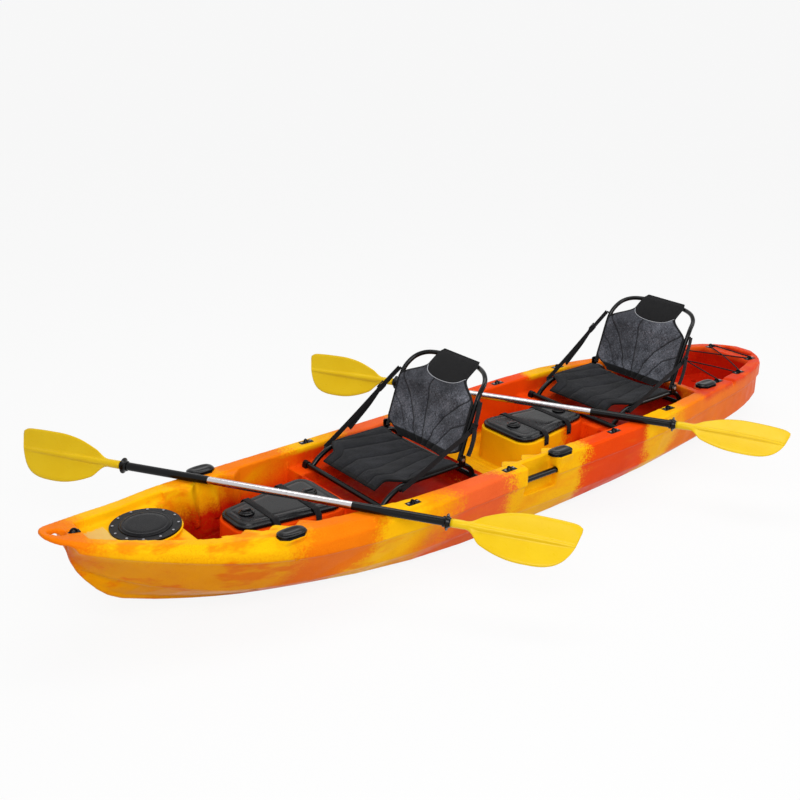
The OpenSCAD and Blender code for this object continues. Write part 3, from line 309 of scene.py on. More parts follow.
def srgb(code):
    """Linear colour of a hex code."""
    parts = [int(code[i:i + 2], 16) / 255 for i in (0, 2, 4)]
    return tuple(c / 12.92 if c <= 0.04045 else ((c + 0.055) / 1.055) ** 2.4 for c in parts) + (1.0,)


def add_node(tree, kind, inputs=None, **settings):
    """Shader node with its settings; an input is a value or another node's output."""
    n = tree.nodes.new(kind)
    for key, value in settings.items():
        setattr(n, key, value)
    for key, value in (inputs or {}).items():
        if isinstance(value, bpy.types.NodeSocket):
            tree.links.new(value, n.inputs[key])
        else:
            n.inputs[key].default_value = value
    return n


class Paint:
    """Procedural material on a principled shader, with short ways to add nodes."""

    def __init__(self, name, **constants):
        self.mat = bpy.data.materials.new(name)
        self.mat.use_nodes = True
        self.tree = self.mat.node_tree
        self.shader = self.tree.nodes["Principled BSDF"]
        for key, value in constants.items():
            self.shader.inputs[key.replace("_", " ")].default_value = value

    def node(self, kind, inputs=None, **settings):
        return add_node(self.tree, kind, inputs, **settings)

    def coords(self, space="Object"):
        return self.node("ShaderNodeTexCoord").outputs[space]

    def scaled(self, vector, scale):
        return self.node("ShaderNodeMapping", {"Vector": vector, "Scale": scale}).outputs[0]

    def noise(self, scale, detail=3.0, rough=0.55, vector=None):
        inputs = {"Vector": vector or self.coords(), "Scale": scale, "Detail": detail, "Roughness": rough}
        return self.node("ShaderNodeTexNoise", inputs).outputs[0]

    def wave(self, vector, scale, direction, distortion=0.0):
        inputs = {"Vector": vector, "Scale": scale, "Distortion": distortion, "Detail": 1.0}
        return self.node("ShaderNodeTexWave", inputs, bands_direction=direction).outputs[1]

    def calc(self, op, a, b=0.0):
        return self.node("ShaderNodeMath", {0: a, 1: b}, operation=op).outputs[0]

    def times(self, a, b):
        return self.calc("MULTIPLY", a, b)

    def plus(self, a, b):
        return self.calc("ADD", a, b)

    def minus(self, a, b):
        return self.calc("SUBTRACT", a, b)

    def remap(self, value, lo, hi, to_lo=0.0, to_hi=1.0):
        inputs = {"Value": value, "From Min": lo, "From Max": hi, "To Min": to_lo, "To Max": to_hi}
        return self.node("ShaderNodeMapRange", inputs).outputs[0]

    def ramp(self, value, stops):
        n = self.node("ShaderNodeValToRGB", {0: value})
        while len(n.color_ramp.elements) < len(stops):
            n.color_ramp.elements.new(1.0)
        for e, (place_at, colour) in zip(n.color_ramp.elements, sorted(stops, key=lambda s: s[0])):
            e.position, e.color = place_at, colour
        return n.outputs[0]

    def mix(self, value, a, b, blend="MIX"):
        inputs = {0: value, 6: a, 7: b}
        return self.node("ShaderNodeMix", inputs, data_type="RGBA", blend_type=blend).outputs[2]

    def attribute(self, name):
        return self.node("ShaderNodeAttribute", attribute_name=name).outputs["Fac"]

    def to(self, socket, value):
        self.tree.links.new(value, self.shader.inputs[socket])

    def bump(self, height, strength, distance):
        """Relief on top of any that is there already."""
        n = self.node("ShaderNodeBump", {"Height": height, "Strength": strength, "Distance": distance})
        old = self.shader.inputs["Normal"].links
        if old:
            self.tree.links.new(old[0].from_socket, n.inputs["Normal"])
        self.to("Normal", n.outputs[0])


YELLOW, GOLD, ORANGE = srgb("F8BC0C"), srgb("F09A06"), srgb("F07C0C")
RED_ORANGE, SALMON, STERN_RED = srgb("EA4608"), srgb("EC6430"), srgb("D93C1C")
WELL_RED, WELL_DEEP, BAY = srgb("BE1608"), srgb("960804"), srgb("CC3A0C")
HULL_END = HALF_LENGTH * UNIT


def hull_bands(p, along, *tones):
    """Colours along the hull, each at one place or between two, in metres from amidships."""
    stops = [((x + HULL_END) / (2 * HULL_END), tone) for *places, tone in tones for x in places]
    return p.ramp(p.remap(along, -HULL_END, HULL_END), stops)


def hull_outside(p, xyz, along, high):
    """Bands along the hull, orange streaks, and painted shade: a darker gold multiplied low on the bow's
    sides.
    """
    colour = hull_bands(
        p, along, (-1.93, -1.22, STERN_RED), (-1.14, -0.98, ORANGE), (-0.88, -0.72, YELLOW),
        (-0.66, -0.31, RED_ORANGE), (-0.28, 0.17, YELLOW), (0.22, 0.42, SALMON), (0.5, GOLD),
        (0.62, 0.76, YELLOW), (0.82, 1.08, ORANGE), (1.2, 1.78, YELLOW), (1.92, ORANGE))
    stern_side = hull_bands(p, along, (-1.93, srgb("DE5424")), (-1.6, srgb("E66A26")), (-1.2, ORANGE))
    at_stern = p.times(p.remap(along, -1.1, -1.25), p.remap(high, 0.3, 0.275))
    colour = p.mix(at_stern, colour, stern_side)
    streak = p.noise(6.0, 4.0, 0.62, p.scaled(p.coords(), (0.7, 1.4, 2.0)))
    streaked = p.times(p.remap(streak, 0.54, 0.64), p.remap(xyz[0], 0.3, 0.9, 0.28, 0.7))
    colour = p.mix(streaked, colour, ORANGE)
    # Painted shade: the lower sides of the bow are multiplied towards a darker gold, as if in shadow
    shade_below_band = p.remap(p.minus(high, p.times(xyz[0], 0.15)), 0.12, 0.08)
    painted_shade_low_bow = p.times(shade_below_band, p.remap(xyz[0], 0.9, 1.25, 0.0, 0.7))
    return p.mix(painted_shade_low_bow, colour, srgb("E2B024"), "MULTIPLY")


def hull_wells(p, xyz, along, high, spread):
    """Floors, consoles, walls, and the paler upper walls of the front footwell."""
    floor_tone = hull_bands(
        p, along, (-1.8, -1.24, WELL_RED), (-1.16, BAY), (-0.72, -0.45, WELL_RED), (-0.4, GOLD),
        (-0.17, YELLOW), (0.02, srgb("D99A1C")), (0.09, BAY), (0.2, 0.7, WELL_RED), (0.78, 1.44, WELL_DEEP),
        (1.5, YELLOW))
    console_tone = hull_bands(
        p, along, (-0.68, WELL_RED), (-0.62, -0.52, RED_ORANGE), (-0.44, 0.08, YELLOW), (0.14, 0.7, WELL_RED),
        (0.8, 1.4, RED_ORANGE))
    wall_tone = hull_bands(
        p, along, (-1.8, -1.24, WELL_RED), (-1.16, ORANGE), (-0.8, BAY), (-0.62, -0.2, RED_ORANGE),
        (-0.12, 0.06, GOLD), (0.14, RED_ORANGE), (0.5, WELL_RED), (0.78, 0.98, RED_ORANGE),
        (1.06, 1.42, WELL_RED))
    foot_wall = hull_bands(
        p, along, (0.7, RED_ORANGE), (0.86, ORANGE), (1.0, GOLD), (1.1, ORANGE), (1.24, 1.5, YELLOW))
    at_console = p.times(p.remap(high, 0.15, 0.19), p.remap(spread, 0.21, 0.19))
    colour = p.mix(at_console, floor_tone, console_tone)
    at_wall = p.times(p.remap(spread, 0.2, 0.235), p.remap(high, 0.12, 0.14))
    colour = p.mix(at_wall, colour, wall_tone)
    at_foot_wall = p.times(p.remap(high, 0.2, 0.27), p.remap(xyz[0], 0.66, 0.8))
    return p.mix(p.times(at_wall, at_foot_wall), colour, foot_wall)


def hull_material():
    """Marbled polyethylene: speckled bands of yellow, orange and red along the hull, darker in the wells."""
    p = Paint("hull_marbled_plastic", Specular_IOR_Level=0.03, Specular_Tint=(1.0, 0.7, 0.28, 1.0))
    xyz = p.node("ShaderNodeSeparateXYZ", {0: p.coords()}).outputs
    # The bands' borders wander and are speckled; towards the bow they lean
    cloud = p.times(p.minus(p.noise(2.6, 4.0, 0.6), 0.5), 0.42)
    fleck = p.times(p.minus(p.noise(120.0, 2.0, 0.7), 0.5), 0.16)
    lean = p.times(p.minus(xyz[2], 0.27), p.remap(xyz[0], 0.2, 0.7, 0.04, 0.45))
    along = p.plus(p.plus(xyz[0], cloud), p.plus(fleck, lean))
    spread = p.plus(p.calc("ABSOLUTE", xyz[1]), p.times(fleck, 0.3))
    high = p.plus(xyz[2], p.times(fleck, 0.3))
    well = p.plus(p.attribute("well"), p.times(p.minus(p.noise(60.0, 2.0), 0.5), 0.3))
    colour = p.mix(p.node("ShaderNodeClamp", {0: well}).outputs[0],
                   hull_outside(p, xyz, along, high), hull_wells(p, xyz, along, high, spread))
    # Pale plate ahead of the hatch
    at_plate = p.times(p.times(p.remap(xyz[0], 1.676, 1.68), p.remap(xyz[0], 1.772, 1.768)),
                       p.remap(p.plus(spread, p.times(xyz[0], 0.42)), 0.786, 0.78))
    at_plate = p.times(at_plate, p.remap(xyz[2], 0.34, 0.35, 0.0, 0.7))
    colour = p.mix(at_plate, colour, srgb("D8BE78"))
    # Stains, pale grain and dark grit
    grain = p.noise(420.0, 2.0)
    colour = p.mix(p.remap(p.noise(9.0, 3.0), 0.35, 0.75, 0.0, 0.18), colour, srgb("C9720C"), "MULTIPLY")
    colour = p.mix(p.remap(grain, 0.62, 0.75, 0.0, 0.14), colour, srgb("FFC63C"))
    grit = p.times(p.remap(p.noise(230.0, 3.0, 0.7), 0.5, 0.66),
                   p.remap(p.noise(3.4, 3.0), 0.4, 0.62, 0.12, 0.6))
    colour = p.mix(grit, colour, p.mix(0.6, colour, srgb("D24A06")))
    p.to("Base Color", colour)
    p.to("Roughness", p.remap(p.noise(26.0, 4.0), 0.3, 0.7, 0.28, 0.44))
    p.bump(p.noise(7.0, 2.0), 0.25, 0.004)
    p.bump(grain, 0.12, 0.0012)
    return p.mat


def moulded(name, code, rough, grain=700.0, depth=0.0006, light="3A3B3F", shine=0.2):
    """Moulded plastic with a fine grain, faint scuffs in the light colour and uneven gloss."""
    p = Paint(name, Specular_IOR_Level=shine)
    scuff = p.remap(p.noise(38.0, 6.0, 0.7), 0.52, 0.8, 0.0, 0.4)
    p.to("Base Color", p.mix(scuff, srgb(code), srgb(light)))
    p.to("Roughness", p.remap(p.noise(22.0, 5.0), 0.3, 0.7, rough - 0.07, rough + 0.09))
    p.bump(p.noise(grain, 2.0), 0.35, depth)
    return p.mat


def webbing_material():
    """Woven strap: ribs along it, fine cross threads and bright flecks."""
    p = Paint("webbing_weave", Specular_IOR_Level=0.15, Sheen_Weight=0.05, Sheen_Roughness=0.5)
    uv = p.coords("UV")
    rib = p.wave(uv, 300.0, "Y", 0.6)
    thread = p.wave(uv, 520.0, "X", 1.2)
    weave = p.times(p.plus(rib, thread), 0.5)
    p.to("Base Color", p.mix(p.remap(weave, 0.3, 0.9), srgb("070708"), srgb("1A1A1E")))
    p.to("Roughness", p.remap(p.noise(200.0), 0.3, 0.7, 0.7, 0.9))
    p.bump(weave, 0.6, 0.0008)
    return p.mat


def cloth_material(name, dark, mid, light, trim):
    """Heathered seat cloth: crossed threads, pale slubs, dark sewn lines, and black trim where zone is 1."""
    p = Paint(name, Specular_IOR_Level=0.12, Sheen_Weight=0.05, Sheen_Roughness=0.6)
    uv = p.coords("UV")
    warp = p.noise(520.0, 2.0, 0.65, p.scaled(uv, (1.0, 0.16, 1.0)))
    weft = p.noise(520.0, 2.0, 0.65, p.scaled(uv, (0.16, 1.0, 1.0)))
    thread = p.times(p.plus(warp, weft), 0.5)
    cross = p.wave(uv, 420.0, "DIAGONAL", 0.8)
    heather = p.mix(p.remap(thread, 0.4, 0.6), srgb(dark), srgb(light))
    heather = p.mix(p.remap(p.noise(14.0, 4.0, 0.7), 0.35, 0.7), heather, srgb(mid))
    heather = p.mix(p.remap(thread, 0.54, 0.62, 0.0, 0.7), heather, srgb(light))
    heather = p.mix(p.remap(p.noise(4.0, 2.0), 0.42, 0.6, 0.0, 0.5), heather, srgb(dark))
    colour = p.mix(p.attribute("zone"), heather, srgb(trim))
    colour = p.mix(p.attribute("seam"), colour, srgb("040405"))
    p.to("Base Color", colour)
    p.to("Roughness", p.remap(thread, 0.3, 0.7, 0.75, 0.92))
    p.bump(p.plus(thread, p.times(cross, 0.4)), 0.5, 0.0009)
    return p.mat


def metal_material(name, code, rough, stretch):
    """Drawn or brushed metal with fine lines along its length."""
    p = Paint(name, Metallic=1.0)
    lines = p.noise(300.0, 4.0, 0.7, p.scaled(p.coords(), stretch))
    p.to("Base Color", p.mix(p.remap(lines, 0.3, 0.7, 0.0, 0.35), srgb(code), srgb("9E9A9D")))
    p.to("Roughness", p.remap(lines, 0.3, 0.7, rough - 0.08, rough + 0.1))
    p.bump(lines, 0.1, 0.0004)
    return p.mat


def blade_material():
    """Glossy yellow moulded blade, a little paler in cloudy patches, with fine scratches."""
    p = Paint("blade_yellow_plastic", Specular_IOR_Level=0.35, Specular_Tint=(1.0, 0.85, 0.5, 1.0))
    cloud = p.remap(p.noise(9.0, 3.0), 0.35, 0.7, 0.0, 0.35)
    colour = p.mix(cloud, srgb("DEB608"), srgb("E8C61E"))
    scratch = p.noise(60.0, 5.0, 0.7, p.scaled(p.coords(), (1.0, 0.2, 1.0)))
    colour = p.mix(p.remap(scratch, 0.62, 0.8, 0.0, 0.3), colour, srgb("CC9204"))
    p.to("Base Color", colour)
    p.to("Roughness", p.remap(scratch, 0.3, 0.7, 0.24, 0.4))
    p.bump(p.noise(300.0, 2.0), 0.05, 0.0003)
    return p.mat


def cord_material():
    """Braided bungee sheath with crossing strands."""
    p = Paint("bungee_braid", Specular_IOR_Level=0.12, Sheen_Weight=0.04)
    uv = p.coords("UV")
    strands = p.wave(uv, 260.0, "DIAGONAL")
    crossing = p.wave(p.scaled(uv, (-1.0, 1.0, 1.0)), 260.0, "DIAGONAL")
    braid = p.calc("MAXIMUM", strands, crossing)
    p.to("Base Color", p.mix(braid, srgb("060607"), srgb("18181B")))
    p.to("Roughness", p.remap(braid, 0.0, 1.0, 0.85, 0.6))
    p.bump(braid, 0.6, 0.0006)
    return p.mat


HULL = hull_material()
BLACK = moulded("black_moulded_plastic", "0C0C0F", 0.3, light="1D1E22", shine=0.11)
LID = moulded("lid_grained_plastic", "0A0B0E", 0.24, 420.0, 0.0003, "17181D", 0.22)
GLOSS = moulded("gloss_black_plastic", "060608", 0.14, 260.0, 0.0001, "131316")
RUBBER = moulded("gasket_rubber", "0D0D0E", 0.72, 500.0, 0.0005)
TUBE = moulded("powder_coated_tube", "050506", 0.14, 900.0, 0.0002, "0E0E11")
SLEEVE = moulded("grip_sleeve_rubber", "050507", 0.2, 520.0, 0.0003, "0F0F12")
WEB = webbing_material()
COVER_CLOTH = cloth_material("seat_cover_heather", "16171B", "292B31", "8A8D98", "08080A")
PAN_CLOTH = cloth_material("seat_pan_heather", "07080A", "0C0D10", "292A30", "040405")
PIPING = moulded("grey_piping", "9FA1A6", 0.6, 900.0, 0.0005, "C9CBD0")
STEEL = metal_material("steel_fastener", "A4A4A8", 0.3, (1.0, 1.0, 1.0))
ALU = metal_material("drawn_aluminium", "C8C5C7", 0.2, (0.06, 0.06, 1.0))
BLADE = blade_material()
BRAID = cord_material()


# Hull: the CAD hull's own form with the soft edges of a rotational moulding

VOXEL = 0.005
CREASE_DEEP, RELIEF_DEEP = 9.0, 6.0
# Height of the spray crease along the bow
CREASE_LINE = [(900, 66), (1360, 124), (1600, 184), (1815, 293)]
RELIEF_HALF = 34
# Places along the hull of the CAD's bow caps, foot steps, consoles and stern slot
BOW_CAP_X = 1149
STEP_PLACES = (1045, 1150, 1255, 80, -30, -140)
CONSOLE_PLACES = (995.0, -393.0)
STERN_SLOT_X = 62 - HALF_LENGTH
# Bounds of the wells and of a console, for the colours
WELL_ENDS, WELL_LOW = (-1780, 1432), 97
CONSOLE_HALF_LENGTH, CONSOLE_HALF_WIDTH, CONSOLE_TOP = 250, 178, 262


def neighbours_mean(values, edges, count, rounds):
    """Values of the points of a mesh, evened out with those of their neighbours."""
    degree = np.bincount(edges.ravel(), minlength=count).astype(float)
    degree[degree == 0] = 1
    a, b = edges.T
    for _ in range(rounds):
        total = np.bincount(a, values[b], count) + np.bincount(b, values[a], count)
        values = 0.5 * values + 0.5 * total / degree
    return values


def softened(node):
    """Copy of a CAD node's mesh with all its edges rounded."""
    work = in_scene("work", NODES[node].data.copy())
    remesh = work.modifiers.new("remesh", "REMESH")
    remesh.mode = "VOXEL"
    remesh.voxel_size = VOXEL
    soften = work.modifiers.new("soften", "SMOOTH")
    soften.factor = 0.5
    soften.iterations = 5
    mesh = bpy.data.meshes.new_from_object(work.evaluated_get(bpy.context.evaluated_depsgraph_get()))
    bpy.data.objects.remove(work)
    return mesh


def read_all(items, key, width, kind=np.float32):
    """One property of all items of a mesh, a row for each."""
    out = np.empty(len(items) * width, kind)
    items.foreach_get(key, out)
    return out.reshape(-1, width)


def outer_dent(x, y, z, normal, top):
    """Depth of the spray crease along the bow and of the relief under the bow caps."""
    chine = np.interp(x, *np.transpose(CREASE_LINE))
    outer_side = (normal[:, 1] * np.sign(y) > 0.15) & (z < top - 30)
    under = np.clip(chine - z, 0, None)
    reach = ease(x, 950, 1150) * (1 - ease(x, 1780, 1825))
    crease = ease(chine - z, -3, 4) * np.exp(-(under / 34) ** 2) * reach
    fall = np.clip((top - z - 34) / 62, 0, 1)
    half = RELIEF_HALF * (1 - fall)
    relief = (1 - ease(np.abs(x - BOW_CAP_X), half - 2, half + 5)) * ease(top - z, 30, 40) * (fall < 1)
    return np.where(outer_side, CREASE_DEEP * crease + RELIEF_DEEP * relief, 0.0)


def well_part(x, y, z, normal, top, wall):
    """How far a point lies inside the wells, from 0 outside to 1 deep in them, for the colours."""
    between = (x > WELL_ENDS[0]) & (x < WELL_ENDS[1])
    in_well = between & (z > WELL_LOW) & (z < top - 10) & (np.abs(y) < wall + 2)
    facing_in = (normal[:, 1] * np.sign(y) < 0.25) | (normal[:, 2] > 0.4)
    near_console = np.min([np.abs(x - c) for c in CONSOLE_PLACES], axis=0) < CONSOLE_HALF_LENGTH
    console = near_console & (np.abs(y) < CONSOLE_HALF_WIDTH) & (z < CONSOLE_TOP)
    fade = ease(x, 880, 1060)
    depth = ease(top - z, 8 + 52 * fade, 26 + 88 * fade)
    well = np.where(in_well & (facing_in | console), np.where(console, ease(top - z, 8, 26), depth), 0.0)
    slot = (np.abs(x - STERN_SLOT_X) < 24) & (np.abs(y) < 94) & (z < top - 8) & (z > 180)
    return np.where(slot, 1.0, well)


def moulded_hull():
    """Hull with its creases pressed in, its ledges raised and its wells marked."""
    mesh = softened("kayak_hull")
    mesh.name = "hull_shell"
    co = read_all(mesh.vertices, "co", 3).astype(float) / UNIT
    normal = read_all(mesh.vertex_normals, "vector", 3)
    edges = read_all(mesh.edges, "vertices", 2, np.int32)
    x, y, z = co.T
    grid = np.arange(-HALF_LENGTH, HALF_LENGTH + 1, 5.0)
    top = np.interp(x, grid, [sheer(v) for v in grid])
    wall = np.interp(x, grid, [inner(v) for v in grid])
    y = y - np.sign(y) * np.minimum(outer_dent(x, y, z, normal, top), 0.5 * np.abs(y))
    # The ledges of the foot steps come up to the gunwale
    step = np.min([np.abs(x - s) for s in STEP_PLACES], axis=0)
    ledge = (step < 72) & (normal[:, 2] > 0.4) & (top - z < 34) & (np.abs(np.abs(y) - wall + 28) < 34)
    z = np.where(ledge, z + 0.85 * np.clip(top - z - 3, 0, None), z)
    moved = np.stack([x, y, z], -1) * UNIT
    mesh.vertices.foreach_set("co", moved.astype(np.float32).ravel())
    well = neighbours_mean(well_part(x, y, z, normal, top, wall), edges, len(co), 2)
    point_value(mesh, "well", well)
    return place("hull_shell", mesh, HULL, "boat", ("kayak_hull",))


moulded_hull()


# Bow hatch

HATCH_X, HATCH_DROP = HALF_LENGTH - 380, 18
# Radius and height over the hatch's seat
HATCH_LID = [(0.5, 4.5), (86, 4.5), (93, 4.7), (94.8, 6.2), (94.8, 9.4), (93.6, 11.0), (90.6, 11.5),
             (89.2, 11.0), (88, 11.1), (86.9, 13.2), (85.4, 14.4), (83, 14.9), (79, 15.0), (78, 14.5),
             (76.6, 14.4), (75.4, 15.0), (60, 15.25), (40, 15.4), (20, 15.5), (0.5, 15.5)]
dress("bow_hatch_rim", BLACK, 1.6)
dress("bow_hatch_gasket", RUBBER, 0.8)
dress("deck_screws", STEEL, 0.8)
make("hatch_lid_disc", [lathe(HATCH_LID, (HATCH_X, 0, sheer(HATCH_X) - HATCH_DROP), 120)],
     BLACK, "bow_lid", "black_plastic", ("bow_hatch_lid",))

# Console lids, their knobs, gaskets and straps

GASKET, LID_THICK, KNOB_GAP = 3, 24, 0.3
LID_BASE = CONSOLE_TOP + GASKET
LID_TOP = LID_BASE + LID_THICK + KNOB_GAP
LID_STRAPS, STRAP_OUT, SNAP_Z = (-84, 84), 12, 238
SNAP = [(6.2, 0), (6.2, 1.0), (5.4, 2.0), (3.6, 2.5), (3.0, 2.1), (0.3, 2.2)]
KNOB_OFF = 143
# Inset from the outline and height above the base
LID_LEVELS = [(12, 0), (4, 0.2), (1.2, 1.6), (0, 4.2), (0, 11.2), (1.0, 13.6), (3.2, 15.2), (7, 16.0),
              (10.5, 15.6), (12, 16.2), (13.2, 19.0), (14.6, 21.6), (17.5, 23.3), (22, 24.0), (36, 24.0),
              (38, 23.3), (40, 23.2), (42, 23.9), (56, 24.0)]


def lid_panel(x, way):
    return stacked(lambda inset: lid_outline(x, way, inset), LID_LEVELS, LID_BASE)


def lid_edge(along):
    """Half width of a lid at a place along it, with the rim's swell."""
    return LID_WIDE + LID_CORNER - (LID_WIDE - LID_NARROW) * (along + LID_HALF) / (2 * LID_HALF) + 2


def strap_side(along):
    """Half width at which a strap hangs down beside the console."""
    return lid_edge(along) + STRAP_OUT


def lid_strap_path(x, way, along):
    side, shoulder, top = strap_side(along), lid_edge(along) - 8, LID_TOP + 1
    half = [(0, top), (shoulder - 22, top), (shoulder - 2, top - 0.6), (shoulder + 7, top - 5.8),
            (side + 0.2, 270), (side + 1.3, 258), (side + 1.3, 244), (side + 1.3, 229.4)]
    pts = [(x + way * along, -a, h) for a, h in half[:0:-1]] + [(x + way * along, a, h) for a, h in half]
    return spline(pts, 6)


def knob(hub):
    """Round ribbed foot with a finger bar across it."""
    profile = [(0.5, 0), (29.6, 0), (30.8, 1.0), (30.8, 4.6), (29.4, 6.0), (26.4, 6.2), (25.2, 7.4),
               (22.6, 11.6), (20, 12), (0.5, 12)]
    foot = lathe(profile, hub, 96, lambda a: 1 - 0.018 * (1 + np.cos(18 * a)) / 2)
    bar = [[(hub[0] + u * k, w * k, hub[2] + h) for u, w in rounded(18.5, 6, 4, 4)]
           for k, h in ((1.0, 10.5), (1.0, 14.4), (0.95, 15.6), (0.82, 16.0))]
    return [foot, np.array(bar)]


for seat, x0, way in zip(("front", "rear"), CONSOLE_PLACES, (1, -1)):
    body = seat + "_lid"
    make(seat + "_lid_panel", [lid_panel(x0, way)], LID, body, "lid_plastic", (seat + "_console_lid",))
    make(seat + "_lid_webbing", [band(lid_strap_path(x0, way, s), (1, 0, 0), 26, 2.3) for s in LID_STRAPS],
         WEB, body, "webbing", (seat + "_console_straps",))
    snaps = [stud(SNAP, 28, x0 + way * s, strap_side(s) + 2.4, SNAP_Z, side)
             for s in LID_STRAPS for side in (-1, 1)]
    make(seat + "_lid_snaps", snaps, GLOSS, body, "webbing")
    for end, off in (("fore", KNOB_OFF), ("aft", -KNOB_OFF)):
        make(f"{seat}_knob_{end}", knob((x0 + off, 0.0, LID_TOP)),
             GLOSS, f"{seat}_knob_{end}", "black_plastic", (f"{seat}_lid_knob_{end}",))
dress("console_gaskets", RUBBER, 0.7)

# Deck fittings

dress("rod_holders", BLACK, 1.4)
CAP_PLACES = [("bow", BOW_CAP_X, 333), ("mid", -153, 385), ("stern", -1286, 251)]
CAP_HALF_LENGTH, CAP_HALF_WIDTH, CAP_CORNERS, CAP_SEAT = 56, 35, 0.72, 5.6
CAP_LEVELS = [(3, 0), (1, 0.2), (0, 1.2), (0, 4.6), (0.8, 5.6), (2.6, 6.0), (3.6, 6.1), (4.4, 6.7), (7, 9.2),
              (10.5, 11.0), (14, 11.7), (17, 11.95), (22, 12), (24, 11.6), (28, 10.5), (31, 10.3)]


def cap_outline(x, y, inset):
    """Oblong with full corners, as a rod holder's cap is from above."""
    ang = np.arange(72) * 2 * math.pi / 72
    along, across = (np.sign(w) * np.abs(w) ** CAP_CORNERS for w in (np.cos(ang), np.sin(ang)))
    return np.stack([x + (CAP_HALF_LENGTH - inset) * along, y + (CAP_HALF_WIDTH - inset) * across], -1)


def cap_shell(x, y):
    return stacked(lambda inset: cap_outline(x, y, inset), CAP_LEVELS, sheer(x) + CAP_SEAT)


for spot, x0, y0 in CAP_PLACES:
    for side, way in (("port", 1), ("starboard", -1)):
        make(f"cap_shell_{spot}_{side}", [cap_shell(x0, way * y0)],
             GLOSS, f"cap_{spot}_{side}", "gloss_plastic", (f"rod_cap_{spot}_{side}",))
dress("pad_eyes", BLACK, 1.0)
dress("bow_fitting", BLACK, 1.0)
GRIP_ENDS, GRIP_Y, GRIP_Z, GRIP_RADIUS = (-140, 62), 395.08, 254.0, 12.4


def grip_bar(side):
    """Carrying bar with finger ribs on its middle half."""
    u = np.linspace(0, 1, 60)
    path = [(x, side * GRIP_Y, GRIP_Z) for x in np.linspace(*GRIP_ENDS, 60)]
    ribbed = ease(u, 0.22, 0.27) * (1 - ease(u, 0.73, 0.78))
    ribs = 0.55 * np.cos(2 * math.pi * 12 * (u - 0.25) / 0.5) * ribbed
    return tube(path, GRIP_RADIUS + ribs, 28)


make("side_grip_bars", [grip_bar(-1), grip_bar(1)], SLEEVE, "boat", "black_plastic", ("side_grips",))

# Bungee over the tank well

PADS = [(-1380, 245), (-1581, 222), (-1811, 123)]
CORD_RISE = 3.6
# Turn of the cord under a pad eye, along and across the boat
TURN = [(16, 7), (8, 1.6), (0, 0), (-8, 1.6), (-16, 7)]
# Pad, its side, the way the cord runs, and how high it arches to the next pad, where it crosses itself
ANCHORS = [(PADS[0], 1, 1, 0), (PADS[1], -1, 1, 0), (PADS[2], 1, 1, 0),
           (PADS[2], -1, -1, 9), (PADS[1], 1, -1, 9), (PADS[0], -1, -1, 0)]


def lacing():
    """Path of the cord from pad eye to pad eye."""
    turns = [np.array([(x + way * u, side * (y - v), sheer(x) + CORD_RISE) for u, v in TURN])
             for (x, y), side, way, _ in ANCHORS]
    route = []
    for i, turn in enumerate(turns):
        route += list(turn)
        if i < len(turns) - 1:
            start, reach = turn[-1], turns[i + 1][0] - turn[-1]
            arch = np.array([0, 0, ANCHORS[i][3]])
            route += [start + reach * k / 7 + arch * math.sin(math.pi * k / 7) for k in range(1, 7)]
    return spline(route, 4)


make("bungee_lacing", [tube(lacing(), 3.0, 12)], BRAID, "boat", "bungee_cord", ("bungee",))

# Seats

RAIL_Y, RAIL_Z, RAIL_RADIUS = 240, 330, 11
# Cross tubes of the base: place along and half length
BARS, BAR_Z, BAR_RADIUS = [(-68, 272), (403, 285)], 262, 11.5
# Side tube of the base, along and up
RAIL = [(-68, BAR_Z), (-60, 290), (-30, 318), (8, RAIL_Z), (120, RAIL_Z), (262, RAIL_Z), (318, 321),
        (368, 294), (403, BAR_Z)]
PLATE_Y, PLATE_Z = (249, 255), 350
# Half of the back's tube: forward of its plane, outside the rail, and the part of the height
BACK_POINTS = [(0, -3, .06), (0, -3, .2), (0, -1, .47), (-3, -1, .65), (-15, -7, .77), (-40, -22, .88),
               (-64, -60, .955), (-88, -120, .99), (-102, -190, 1)]
BACK_HEIGHT, BACK_RADIUS, BACK_TAIL = 362, 10, -12
STRAP_PIN, PIN_Y = 0.68 * BACK_HEIGHT, (244, 260)
LEAN = math.radians(19)
HINGE_Z = JOINTS["front_back_fold"]["pos_m"][2] / UNIT
COVER_LENGTH, COVER_LOW, COVER_THICK, COVER_PUFF = 407, -24, 4.2, 6.2
COVER_OUT, COVER_SAG, COVER_BEND = 10.9, 22, 103
PAN_REAR, PAN_LENGTH, PAN_Z, PAN_THICK, PAN_PUFF = 26, 362, 342, 5.6, 7.5
PAN_SAG, PAN_FALL = 16, 50
BINDING = 11
# Sewn lines: points by part along and part across, and how strong the line is
COVER_SEAMS = [
    ([(0.0, -0.08), (0.2, -0.1), (0.45, -0.16), (0.78, -0.2)], 1.0),
    ([(0.0, -0.3), (0.22, -0.38), (0.45, -0.62), (0.6, -0.86), (0.68, -1.02)], 1.0),
    ([(0.0, 0.12), (0.2, 0.16), (0.38, 0.36), (0.55, 0.68), (0.68, 1.02)], 1.0),
    ([(0.0, 0.38), (0.16, 0.42), (0.3, 0.62), (0.42, 1.02)], 0.9),
    ([(0.0, -0.56), (0.16, -0.6), (0.3, -0.76), (0.42, -1.02)], 0.6),
]
PAN_SEAMS = [
    ([(0.0, -0.42), (0.35, -0.5), (0.7, -0.62), (1.0, -0.7)], 1.0),
    ([(0.0, 0.42), (0.35, 0.5), (0.7, 0.62), (1.0, 0.7)], 1.0),
    ([(0.0, 0.0), (0.4, -0.06), (0.72, -0.2), (1.0, -0.3)], 0.9),
    ([(0.0, 0.14), (0.4, 0.2), (0.72, 0.26), (1.0, 0.3)], 0.7),
    ([(0.0, 0.72), (0.3, 0.78), (0.6, 0.9), (0.72, 1.02)], 0.7),
    ([(0.0, -0.72), (0.3, -0.78), (0.6, -0.9), (0.72, -1.02)], 0.7),
]


